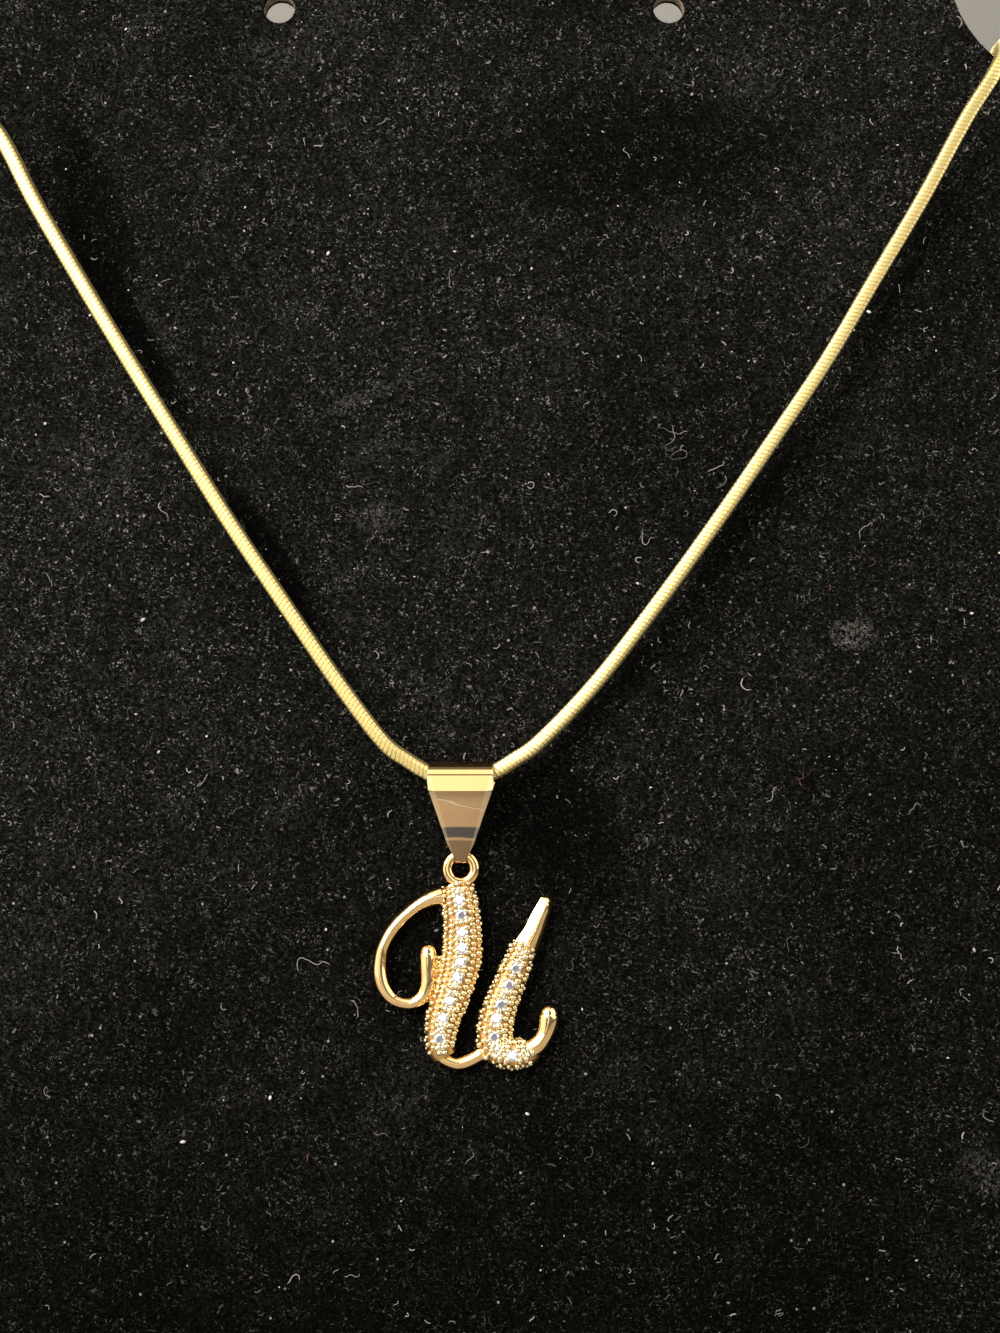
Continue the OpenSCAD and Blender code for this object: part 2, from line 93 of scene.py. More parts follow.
@dataclass(frozen=True)
class Val:
    """One output socket of a shader tree, with arithmetic that adds Math nodes."""

    shade: "Shade"
    out: bpy.types.NodeSocket

    def _math(self, operation: str, first: object, second: object) -> "Val":
        """Adds one Math node.

        Args:
            operation: The Math node's operation.
            first: Its first input, a value or a Val.
            second: Its second input.

        Returns:
            The node's output.
        """
        return self.shade.node("ShaderNodeMath", {"operation": operation}, {0: first, 1: second})

    def __add__(self, other: object) -> "Val":
        """Sum."""
        return self._math("ADD", self, other)

    __radd__ = __add__

    def __sub__(self, other: object) -> "Val":
        """Difference."""
        return self._math("SUBTRACT", self, other)

    def __rsub__(self, other: object) -> "Val":
        """Difference, reflected."""
        return self._math("SUBTRACT", other, self)

    def __mul__(self, other: object) -> "Val":
        """Product."""
        return self._math("MULTIPLY", self, other)

    def __abs__(self) -> "Val":
        """Absolute value."""
        return self._math("ABSOLUTE", self, 0.0)

    def above(self, low: float, high: float) -> "Val":
        """A smooth step from 0 at low to 1 at high.

        Args:
            low: The value at which the step starts.
            high: The value at which it ends; below low, the step falls.

        Returns:
            The stepped value.
        """
        return self.shade.node(
            "ShaderNodeMapRange", {"interpolation_type": "SMOOTHSTEP"},
            {"Value": self, "From Min": low, "From Max": high},
        )


class Shade:
    """A material in the making."""

    def __init__(self, name: str) -> None:
        """Starts an empty node material of that name."""
        self.material = bpy.data.materials.new(name)
        self.material.use_nodes = True
        self.tree = self.material.node_tree
        self.tree.nodes.clear()
        coords = self.node("ShaderNodeTexCoord", {}, {}, "Object")
        inputs = {0: coords, "Scale": 1.0 / MM}
        self.place = self.node("ShaderNodeVectorMath", {"operation": "SCALE"}, inputs)

    def node(self, kind: str, settings: dict, inputs: dict, output: object = 0) -> Val | None:
        """Adds a node.

        Args:
            kind: The node's type.
            settings: Its properties, set before its inputs.
            inputs: Values or Vals by input name or number.
            output: The name or number of the output that is wanted.

        Returns:
            That output, or None if the node has none.
        """
        made = self.tree.nodes.new(kind)
        for key, value in settings.items():
            setattr(made, key, value)
        for key, value in inputs.items():
            socket = made.inputs[key]
            if isinstance(value, Val):
                self.tree.links.new(value.out, socket)
            else:
                socket.default_value = value
        return Val(self, made.outputs[output]) if made.outputs else None

    def along(self, direction: Vector) -> Val:
        """How far the point lies along a direction, in millimetres."""
        inputs = {0: self.place, 1: tuple(direction)}
        return self.node("ShaderNodeVectorMath", {"operation": "DOT_PRODUCT"}, inputs, "Value")

    def noise(self, scale: float, detail: float = 2.0, rough: float = 0.5, at: Val | None = None) -> Val:
        """Noise in the range 0 to 1.

        Args:
            scale: Its features to the millimetre.
            detail: How many finer layers it has.
            rough: How strong they are.
            at: Where it is read, the surface's own place if None.

        Returns:
            The noise.
        """
        inputs = {"Vector": at or self.place, "Scale": scale, "Detail": detail, "Roughness": rough}
        return self.node("ShaderNodeTexNoise", {}, inputs)

    def turned(self) -> Val:
        """The surface's place, turned so that no pattern's layers lie along the board."""
        return self.node("ShaderNodeMapping", {}, {"Vector": self.place, "Rotation": PATTERN_TURN})

    def cells(self, scale: float, output: str = "Distance") -> Val:
        """Voronoi cells: the distance to the nearest centre, or the cell's own colour."""
        return self.node("ShaderNodeTexVoronoi", {}, {"Vector": self.turned(), "Scale": scale}, output)

    def specks(self, scale: float, edge: float, core: float, rare: float, channel: int) -> Val:
        """Lone round specks.

        Args:
            scale: How many cells fit in a millimetre.
            edge: The distance from a cell's centre at which its speck starts, in cells.
            core: The distance at which it is full.
            rare: The share of the cells that have none.
            channel: The channel of the cells' own colour that picks them.

        Returns:
            Their mask.
        """
        own = self.node("ShaderNodeSeparateColor", {}, {0: self.cells(scale, "Color")}, channel)
        return self.cells(scale).above(edge, core) * own.above(rare, 1.0)

    def board_axes(self) -> tuple[Val, Val, Val]:
        """The place across, up and out of the board, in millimetres."""
        turn = SETTING.to_3x3().normalized()
        origin = SETTING.translation / MM
        found = []
        for axis in (Vector((1, 0, 0)), Vector((0, 0, 1)), FORWARD):
            way = turn @ axis
            found.append(self.along(way) - way.dot(origin))
        return tuple(found)

    def patches(self, table: Sequence[tuple[float, ...]]) -> Val:
        """Soft ovals on the board's face, added up.

        Args:
            table: Rows of across, up, half length, half width, turn in degrees and strength.

        Returns:
            Their mask.
        """
        across, up, _ = self.board_axes()
        found = []
        for x, z, half_l, half_w, angle, strength in table:
            c, s = math.cos(math.radians(angle)), math.sin(math.radians(angle))
            far = ((across - x) * c + (up - z) * s) * (1 / half_l)
            off = ((up - z) * c - (across - x) * s) * (1 / half_w)
            found.append((far * far + off * off).above(1.0, 0.0) * strength)
        return sum(found[1:], found[0])

    def dashes(self, table: Sequence[tuple[float, ...]], swing: float = 2.2) -> Val:
        """Short marks over the board. Those of one row all run one way, swaying a little.

        Args:
            table: Rows of turn in degrees, how many marks fit side by side and end to end in a
                millimetre, and the noise at which they start and at which they are full.
            swing: How far they sway, in millimetres.

        Returns:
            Their mask.
        """
        across, up, out = self.board_axes()
        sway = (self.noise(0.7, 1.0, 0.5) - 0.5) * swing
        found = []
        for angle, fine, long, low, high in table:
            c, s = math.cos(math.radians(angle)), math.sin(math.radians(angle))
            far, off = (across * c + up * s) * long, (up * c - across * s + sway) * fine
            at = self.node("ShaderNodeCombineXYZ", {}, {0: far + angle, 1: off, 2: out * fine})
            found.append(self.noise(1.0, 1.0, 0.5, at).above(low, high))
        return sum(found[1:], found[0])

    def mix(self, factor: object, low: object, high: object) -> Val:
        """Mixes two colours."""
        return self.node("ShaderNodeMix", {"data_type": "RGBA"}, {0: factor, 6: low, 7: high}, 2)

    def bump(self, height: Val, distance: float, strength: float = 1.0, normal: Val | None = None) -> Val:
        """Turns a height into a normal.

        Args:
            height: The height, about 0 to 1.
            distance: What a height of 1 stands for, in millimetres.
            strength: How much of it shows.
            normal: A normal to add it to.

        Returns:
            The normal.
        """
        inputs = {"Height": height, "Distance": distance * MM, "Strength": strength}
        if normal is not None:
            inputs["Normal"] = normal
        return self.node("ShaderNodeBump", {}, inputs)

    def finish(self, **sockets: object) -> bpy.types.Material:
        """Closes the material with a Principled shader.

        Args:
            **sockets: Values or Vals by input name, with _ for a space.

        Returns:
            The material.
        """
        inputs = {key.replace("_", " "): value for key, value in sockets.items()}
        surface = self.node("ShaderNodeBsdfPrincipled", {}, inputs, "BSDF")
        self.node("ShaderNodeOutputMaterial", {}, {"Surface": surface})
        return self.material


def rgb(red: float, green: float, blue: float) -> tuple[float, float, float, float]:
    """A colour with full alpha."""
    return (red, green, blue, 1.0)


@dataclass(frozen=True)
class VelvetFinish:
    """Black velvet that has caught dust: fine pile, short pale marks and hazy patches, with painted light
    that is brighter towards the top, and painted shadows of the chain and the pendant.
    """

    name: str = "black_velvet"
    black: tuple = rgb(0.0003, 0.0003, 0.0002)
    deep: tuple = rgb(0.0015, 0.0015, 0.0012)
    pile: tuple = rgb(0.0074, 0.0073, 0.0062)
    streak: tuple = rgb(0.023, 0.023, 0.021)
    mark: tuple = rgb(0.160, 0.157, 0.146)
    blush: tuple = rgb(0.13, 0.075, 0.075)
    haze: tuple = rgb(0.090, 0.088, 0.081)
    dust: tuple = rgb(0.36, 0.35, 0.33)
    # Smudges: across and up from the crossing line's middle, half length and width, turn, strength
    smudges: tuple = (
        (-12.0, -36.0, 5.6, 1.1, 27, 0.65), (-9.5, -48.0, 3.4, 2.0, 10, 0.65),
        (38.5, -60.0, 2.8, 1.8, 0, 2.4), (51.0, -113.5, 4.0, 2.6, -35, 0.65),
        (-21.0, 0.5, 3.5, 2.2, 0, 0.35), (-38.0, -45.0, 6.0, 5.0, 20, 0.18),
        (-8.0, -106.5, 9.0, 4.0, 55, 0.14), (-44.0, -91.5, 8.0, 5.0, 70, 0.14),
    )
    # Painted shadows of the chain and the pendant, cast to their right, and a darker patch at the top
    # middle, where the velvet is painted black; in the same columns
    painted_shadows: tuple = (
        (17.8, -10.0, 24.0, 10.0, 0, 0.6), (-39.5, -15.3, 16.0, 4.0, -70, 0.75),
        (9.5, -80.5, 12.0, 8.0, -60, 0.7), (-1.7, -93.4, 12.0, 10.0, 0, 0.55),
        (44.4, -21.7, 17.0, 2.1, 59.8, 0.7), (28.6, -46.2, 17.0, 1.8, 55.1, 0.7),
        (14.0, -65.2, 11.0, 1.6, 49.7, 0.7), (-35.4, -27.8, 17.0, 2.0, -58.8, 0.9),
        (-20.2, -52.2, 15.0, 1.8, -56.4, 0.9),
    )
    # Short marks of the nap and of dust, in the columns of Shade.dashes
    nap_marks: tuple = ((4, 4.4, 1.7, 0.54, 0.78), (154, 4.8, 2.0, 0.56, 0.80))
    dust_marks: tuple = (
        (15, 4.8, 1.8, 0.64, 0.75), (78, 5.4, 2.3, 0.65, 0.76), (137, 5.0, 2.0, 0.64, 0.75),
    )

    def material(self) -> bpy.types.Material:
        """Builds the material."""
        s = Shade(self.name)
        _, up, _ = s.board_axes()
        tufts = s.noise(2.6, 2.0, 0.7)
        fine = s.noise(7.0, 1.0, 0.6)
        clouds = s.noise(0.16, 3.0, 0.6)
        broad = s.noise(0.035, 2.0, 0.5).above(0.35, 0.65)
        # Painted light: the velvet is painted lighter towards the top and in broad random patches; the
        # pile, nap marks, dust marks and specks follow it
        painted_light = (up.above(-150.0, -45.0) * 0.72 + 0.28) * (broad * 0.5 + 0.68)
        colour = s.mix(painted_light, self.black, self.deep)
        colour = s.mix(tufts.above(0.42, 0.68) * (fine * 0.8 + 0.4) * painted_light, colour, self.pile)
        haze = clouds.above(0.50, 0.75) * 0.24 * painted_light + s.patches(self.smudges)
        colour = s.mix(haze * tufts.above(0.42, 0.62) * fine.above(0.38, 0.62), colour, self.haze)
        colour = s.mix(s.dashes(self.nap_marks) * (fine * 0.7 + 0.5) * painted_light, colour, self.streak)
        clumps = s.noise(0.55, 2.0, 0.6).above(0.40, 0.66)
        marks = s.dashes(self.dust_marks) * (clumps * 0.92 + 0.08) * (painted_light * 0.8 + 0.2)
        tint = s.mix(s.noise(1.3, 1.0, 0.5).above(0.62, 0.70) * 0.7, self.mark, self.blush)
        colour = s.mix(marks, colour, tint)
        speck = s.specks(0.95, 0.17, 0.06, 0.84, 0)
        grain = s.specks(2.1, 0.30, 0.12, 0.82, 1) * 0.5
        colour = s.mix((speck + grain * painted_light) * 0.85, colour, self.dust)
        # Painted shadows: the velvet, its marks and dust too, is painted black under the chain's and the
        # pendant's shadows
        colour = s.mix(s.patches(self.painted_shadows).above(0.0, 1.0) * 0.85, colour, self.black)
        relief = s.bump(tufts + fine * 0.5, 0.22, 0.8)
        return s.finish(
            Base_Color=colour, Roughness=0.95, Specular_IOR_Level=0.02, Sheen_Weight=0.012,
            Sheen_Roughness=0.5, Sheen_Tint=rgb(0.6, 0.58, 0.55), Normal=relief,
        )


@dataclass(frozen=True)
class FibreFinish:
    """Loose fibres on the velvet, each a little different."""

    name: str
    dark: tuple
    light: tuple
    scale: float = 0.6
    # Painted shadows that darken the fibres, in the columns of Shade.patches
    painted_shadows: tuple = ()

    def material(self) -> bpy.types.Material:
        """Builds the material."""
        s = Shade(self.name)
        tone = s.noise(self.scale, 1.0, 0.5).above(0.35, 0.68)
        # Fibres under the painted shadows are painted darker
        if self.painted_shadows:
            tone = tone * (1 - s.patches(self.painted_shadows).above(0.0, 1.0) * 0.85)
        colour = s.mix(tone, self.dark, self.light)
        return s.finish(Base_Color=colour, Roughness=0.85, Specular_IOR_Level=0.1)


@dataclass(frozen=True)
class GoldFinish:
    """Plated gold: its colour, how it was polished, and what has dulled it."""

    name: str
    colour: tuple
    deep: tuple
    gloss: float = 0.14
    dull: float = 0.10
    grain: float = 2.2
    grain_depth: float = 0.004
    wave: float = 0.35
    wave_depth: float = 0.02

    def start(self) -> tuple[Shade, Val, Val, Val]:
        """Builds what every gold finish shares.

        Returns:
            The shade, its colour, its roughness and its normal.
        """
        s = Shade(self.name)
        smear = s.noise(self.wave * 1.7, 3.0, 0.6).above(0.42, 0.72)
        colour = s.mix(smear * 0.6, self.colour, self.deep)
        rough = self.gloss + smear * self.dull
        waves = s.bump(s.noise(self.wave, 1.0, 0.4), self.wave_depth)
        normal = s.bump(s.noise(self.grain, 2.0, 0.5), self.grain_depth, normal=waves)
        return s, colour, rough, normal

    def material(self) -> bpy.types.Material:
        """Builds the material."""
        s, colour, rough, normal = self.start()
        return s.finish(Base_Color=colour, Metallic=1.0, Roughness=rough, Normal=normal)


@dataclass(frozen=True)
class CreasedGold(GoldFinish):
    """The bail's polish, with a fine crease across its front face, and painted reflections on that face:
    the face darker in streaks, darker under the fold and at the foot, a dark band across it, lighter bevels
    and a painted highlight along the crease.

    Heights run up from the line where the chain crosses the shoulders, depths out of the board.
    """

    crease_up: float = -77.3
    crease_slope: float = -0.26
    crease_half: float = 2.35
    band_up: float = -79.98
    fold_up: float = -75.965
    brow_up: tuple[float, float] = (-77.3, -76.1)
    front_out: tuple[float, float] = (2.0, 2.3)
    foot_out: tuple[float, float] = (1.2, 1.6)
    bevel_root: float = -84.98
    bevel_slope: float = 0.2728
    # Colours of painted reflections: the front face's darker colour, the darker brow and foot, the dark
    # band, and the lighter bevels and crease highlight
    face: tuple = rgb(0.70, 0.46, 0.26)
    pale: tuple = rgb(1.0, 0.86, 0.60)
    painted_band_reflection: tuple = rgb(0.095, 0.10, 0.11)
    painted_dark_reflection: tuple = rgb(0.24, 0.165, 0.09)

    def material(self) -> bpy.types.Material:
        """Builds the material."""
        s, colour, rough, normal = self.start()
        across, up, out = s.board_axes()
        x = across - PENDANT_X
        z = up - self.crease_up
        front = out.above(*self.front_out)
        face = front * up.above(self.fold_up + 0.03, self.fold_up - 0.03)
        wander = (s.noise(0.8, 1.0, 0.5) - 0.5) * 0.6
        line = abs(z - x * self.crease_slope - wander).above(0.13, 0.03)
        line = line * abs(x).above(self.crease_half, self.crease_half - 0.25) * front
        sag = up - self.band_up + x * x * 0.03 + wander * 0.35
        band = abs(sag).above(0.62, 0.42)
        low = sag.above(-0.68, -0.84) * out.above(*self.foot_out)
        bevel = (abs(x) - (up - self.bevel_root) * self.bevel_slope).above(0.0, 0.06) * front
        drawn = s.node("ShaderNodeCombineXYZ", {}, {0: across * 0.12, 1: up * 1.1})
        streaks = s.noise(1.0, 2.0, 0.5, drawn)
        # Painted reflection: the front face is painted darker, in streaks along it
        colour = s.mix(face * (streaks * 0.5 + 0.72), colour, self.face)
        # Painted reflection: darker under the fold's brow and towards the foot
        brow = up.above(*self.brow_up) * face * 0.5
        colour = s.mix(brow + low * 0.8, colour, self.painted_dark_reflection)
        # Painted reflection: a dark band across the lower face
        colour = s.mix(band * 0.92 * front, colour, self.painted_band_reflection)
        # Painted reflection on the bevels, and a painted highlight along the crease; the crease's relief is
        # the bump below
        colour = s.mix(bevel * 0.28, colour, self.pale)
        colour = s.mix(line * 0.85, colour, self.pale)
        relief = s.bump(line, 0.015, normal=normal)
        return s.finish(Base_Color=colour, Metallic=1.0, Roughness=rough + line * 0.15, Normal=relief)


@dataclass(frozen=True)
class StoneFinish:
    """Clear cut stones that look white and lavender in their gold seats."""

    name: str = "clear_stone"
    white: tuple = rgb(0.92, 0.92, 0.97)
    lavender: tuple = rgb(0.71, 0.71, 0.84)

    def material(self) -> bpy.types.Material:
        """Builds the material."""
        s = Shade(self.name)
        tint = s.noise(1.6, 1.0, 0.5).above(0.40, 0.62)
        colour = s.mix(tint, self.white, self.lavender)
        return s.finish(
            Base_Color=colour, Metallic=0.80, Roughness=0.03, IOR=2.15, Specular_IOR_Level=0.9,
            Coat_Weight=1.0, Coat_Roughness=0.02,
        )


@dataclass(frozen=True)
class BoardCore:
    """The tan fibreboard that shows in the walls of the holes."""

    name: str = "tan_core"
    dark: tuple = rgb(0.16, 0.11, 0.075)
    light: tuple = rgb(0.52, 0.40, 0.29)

    def material(self) -> bpy.types.Material:
        """Builds the material."""
        s = Shade(self.name)
        fibres = s.noise(3.0, 4.0, 0.7)
        colour = s.mix(fibres.above(0.35, 0.7), self.dark, self.light)
        return s.finish(Base_Color=colour, Roughness=0.9, Normal=s.bump(fibres, 0.12))


@dataclass(frozen=True)
class Backdrop:
    """A plain pale matt floor."""

    name: str = "pale_floor"
    dark: tuple = rgb(0.36, 0.345, 0.32)
    light: tuple = rgb(0.40, 0.385, 0.36)

    def material(self) -> bpy.types.Material:
        """Builds the material."""
        s = Shade(self.name)
        return s.finish(Base_Color=s.mix(s.noise(0.01, 2.0, 0.5), self.dark, self.light), Roughness=0.85)


# ---- mesh building ----


class Blank:
    """A piece in the making, in the board's millimetres."""

    def __init__(self, name: str) -> None:
        """Starts an empty piece of that name."""
        self.name = name
        self.bm = bmesh.new()

    def ring(self, points: Sequence[Vector]) -> list[bmesh.types.BMVert]:
        """Adds an open ring of vertices through the points."""
        made = bmesh.ops.create_circle(self.bm, segments=len(points), radius=1.0)["verts"]
        made.sort(key=lambda v: v.index)
        for vert, point in zip(made, points):
            vert.co = point
        return made

    @staticmethod
    def rim(verts: Sequence[bmesh.types.BMVert]) -> list[bmesh.types.BMEdge]:
        """The edges between the vertices of a ring, in the same order each run."""
        inside = set(verts)
        return list(dict.fromkeys(e for v in verts for e in v.link_edges if e.other_vert(v) in inside))

    def loft(self, rings: Sequence[Sequence[Vector]], joined: bool = False) -> None:
        """Extrudes one ring through all the others.

        Args:
            rings: Rings that each have the same number of points.
            joined: True to join the last ring to the first, False to cap both.
        """
        first = last = self.ring(rings[0])
        edges = self.rim(first)
        for points in rings[1:]:
            geom = bmesh.ops.extrude_edge_only(self.bm, edges=edges)["geom"]
            fresh = {g for g in geom if isinstance(g, bmesh.types.BMVert)}
            new = [next(e.other_vert(v) for e in v.link_edges if e.other_vert(v) in fresh) for v in last]
            for vert, point in zip(new, points):
                vert.co = point
            last, edges = new, self.rim(new)
        if joined:
            bmesh.ops.bridge_loops(self.bm, edges=edges + self.rim(first))
        else:
            for end in (first, last):
                bmesh.ops.contextual_create(self.bm, geom=self.rim(end))

    def copy_of(self, node: str) -> None:
        """Takes over a CAD node's shape, merged, with its flat faces whole again."""
        self.bm.from_mesh(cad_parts[node].data)
        bmesh.ops.transform(self.bm, matrix=SETTING.inverted(), verts=self.bm.verts)
        bmesh.ops.remove_doubles(self.bm, verts=self.bm.verts, dist=0.002)
        bmesh.ops.dissolve_limit(
            self.bm, angle_limit=math.radians(0.5), verts=self.bm.verts, edges=self.bm.edges
        )

    def soften(self, width: float, segments: int, angle: float = 40.0) -> None:
        """Bevels every edge that is sharper than an angle, in degrees."""
        limit = math.radians(angle)
        sharp = [e for e in self.bm.edges if len(e.link_faces) == 2 and e.calc_face_angle(0.0) > limit]
        bmesh.ops.bevel(
            self.bm, geom=sharp, offset=width, offset_type="OFFSET", segments=segments, profile=0.5,
            affect="EDGES", material=-1, clamp_overlap=True,
        )

    def mesh(self, smooth_under: float | None = 35.0) -> bpy.types.Mesh:
        """Closes the piece.

        Args:
            smooth_under: The angle in degrees under which edges are shaded smooth, or None.

        Returns:
            Its mesh, still in the board's millimetres.
        """
        bmesh.ops.remove_doubles(self.bm, verts=self.bm.verts, dist=0.0005)
        bmesh.ops.recalc_face_normals(self.bm, faces=self.bm.faces)
        mesh = bpy.data.meshes.new(self.name)
        self.bm.to_mesh(mesh)
        self.bm.free()
        if smooth_under is not None:
            mesh.polygons.foreach_set("use_smooth", [True] * len(mesh.polygons))
            mesh.set_sharp_from_angle(angle=math.radians(smooth_under))
        return mesh


def array_of(
    name: str, template: bpy.types.Mesh, places: Sequence[Matrix], smooth_under: float = 0.0
) -> bpy.types.Mesh:
    """Joins copies of a small mesh, one at each place.

    Args:
        name: The new mesh's name.
        template: The mesh that is repeated.
        places: Where each copy goes.
        smooth_under: The angle in degrees under which edges are shaded smooth.

    Returns:
        The joined mesh, in the units of the places.
    """
    points = np.empty(len(template.vertices) * 3)
    template.vertices.foreach_get("co", points)
    points = np.c_[points.reshape(-1, 3), np.ones(len(template.vertices))]
    spots = np.array([np.array(place) for place in places])
    verts = np.einsum("nij,vj->nvi", spots, points)[:, :, :3]
    corners = np.empty(len(template.loops), dtype=np.int32)
    template.loops.foreach_get("vertex_index", corners)
    sizes = np.empty(len(template.polygons), dtype=np.int32)
    template.polygons.foreach_get("loop_total", sizes)
    count = len(places)
    steps = np.arange(count, dtype=np.int32)[:, None] * len(template.vertices)
    mesh = bpy.data.meshes.new(name)
    mesh.vertices.add(count * len(template.vertices))
    mesh.vertices.foreach_set("co", verts.ravel())
    mesh.loops.add(count * len(corners))
    mesh.loops.foreach_set("vertex_index", (corners[None, :] + steps).ravel())
    totals = np.tile(sizes, count)
    mesh.polygons.add(len(totals))
    mesh.polygons.foreach_set("loop_start", np.r_[0, np.cumsum(totals)[:-1]].astype(np.int32))
    mesh.polygons.foreach_set("loop_total", totals)
    mesh.polygons.foreach_set("use_smooth", np.full(len(totals), smooth_under > 0))
    mesh.update(calc_edges=True)
    mesh.validate()
    if smooth_under > 0:
        mesh.set_sharp_from_angle(angle=math.radians(smooth_under))
    return mesh


def strands(name: str, lines: Sequence[Sequence[Vector]], widths: Sequence[float]) -> bpy.types.Mesh:
    """Joins three sided strands that lie on the board's front.

    Args:
        name: The new mesh's name.
        lines: Each strand's points.
        widths: Half the width of each strand.

    Returns:
        The joined mesh.
    """
    verts, faces = [], []
    for line, width in zip(lines, widths):
        first, last = len(verts), len(line) - 1
        for k, point in enumerate(line):
            side = (line[min(k + 1, last)] - line[max(k - 1, 0)]).cross(FORWARD).normalized()
            reach = width if 0 < k < last else width * 0.35
            for angle in (0.0, math.tau / 3, 2 * math.tau / 3):
                verts.append(point + reach * (math.cos(angle) * side + math.sin(angle) * FORWARD))
        for k in range(first, first + 3 * last, 3):
            faces += [(k + j, k + 3 + j, k + 3 + (j + 1) % 3, k + (j + 1) % 3) for j in range(3)]
        end = first + 3 * last
        faces += [(first, first + 1, first + 2), (end + 2, end + 1, end)]
    mesh = bpy.data.meshes.new(name)
    mesh.from_pydata(verts, [], faces)
    mesh.polygons.foreach_set("use_smooth", [True] * len(faces))
    return mesh


def into_scene(name: str, data: bpy.types.ID) -> bpy.types.Object:
    """Adds an object of that name to the scene."""
    made = bpy.data.objects.new(name, data)
    bpy.context.scene.collection.objects.link(made)
    return made


def place(
    mesh: bpy.types.Mesh, material: bpy.types.Material, body: Body, slot: Slot, nodes: Iterable[str] = ()
) -> None:
    """Sets a finished mesh in the shared frame as a piece.

    Args:
        mesh: The mesh, in the board's millimetres.
        material: What it is made of.
        body: The body that it rides on.
        slot: A material slot; not used.
        nodes: The CAD nodes that it stands for.
    """
    mesh.transform(SETTING)
    mesh.update()
    piece = into_scene(mesh.name, mesh)
    mesh.materials.clear()
    mesh.materials.append(material)
    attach(piece, body.value)
    if nodes:
        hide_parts(*nodes)
    mesh.calc_loop_triangles()
    log.info("%s: %d triangles on %s", piece.name, len(mesh.loop_triangles), body.value)


def curve_through(rows: Sequence[Sequence[float]], t: float) -> np.ndarray:
    """A point of a table at a row that need not be whole, on a smooth curve through its rows."""
    last = len(rows) - 1
    i = min(int(t), last - 1)
    f = t - i
    a, b, c, d = (np.array(rows[k], dtype=float) for k in (max(i - 1, 0), i, i + 1, min(i + 2, last)))
    return (
        b + f * (c - a) / 2
        + f * f * (2 * a - 5 * b + 4 * c - d) / 2
        + f ** 3 * (3 * b - 3 * c + d - a) / 2
    )


def turn_onto(across: Sequence[float], along: Sequence[float], out: Sequence[float]) -> Matrix:
    """The turn that brings the axes X, Y and Z onto three directions."""
    return Matrix([tuple(way) for way in (across, along, out)]).transposed().to_4x4()


def aside(way: Vector) -> Vector:
    """The direction across a line that runs one way over the board's face."""
    return Vector((-way.z, 0, way.x))


# ---- the display board ----

# Threads of lint: across and up from the crossing line's middle, first direction in degrees,
# length and half width
LINT = [
    (20.2, -38.6, -80, 4.6, 0.06), (18.8, -38.8, 20, 3.4, 0.05), (20.0, -41.9, -100, 4.4, 0.055),
    (17.2, -49.6, -60, 3.0, 0.06), (23.8, -43.4, 30, 2.4, 0.07), (25.6, -43.8, -70, 2.0, 0.07),
    (14.2, -48.0, 10, 1.8, 0.06), (39.2, -50.4, 60, 2.6, 0.055), (-13.0, -44.8, -20, 2.0, 0.05),
    (-27.4, -25.9, 75, 2.6, 0.05), (31.4, -91.9, 60, 2.4, 0.05), (-14.2, -93.2, 85, 5.0, 0.045),
    (44.8, -77.6, 55, 2.4, 0.075), (29.4, -77.0, 25, 2.2, 0.05), (11.6, -110.9, -30, 2.2, 0.05),
]
PINK_THREADS = [
    (32.4, -74.8, 60, 1.3), (32.6, -74.6, 10, 1.0), (40.0, -53.2, 70, 1.6), (24.8, -41.2, 40, 0.8),
    (36.0, -55.0, -40, 0.8), (-25.0, -30.4, 20, 0.8), (-16.4, -112.4, 70, 0.9),
]


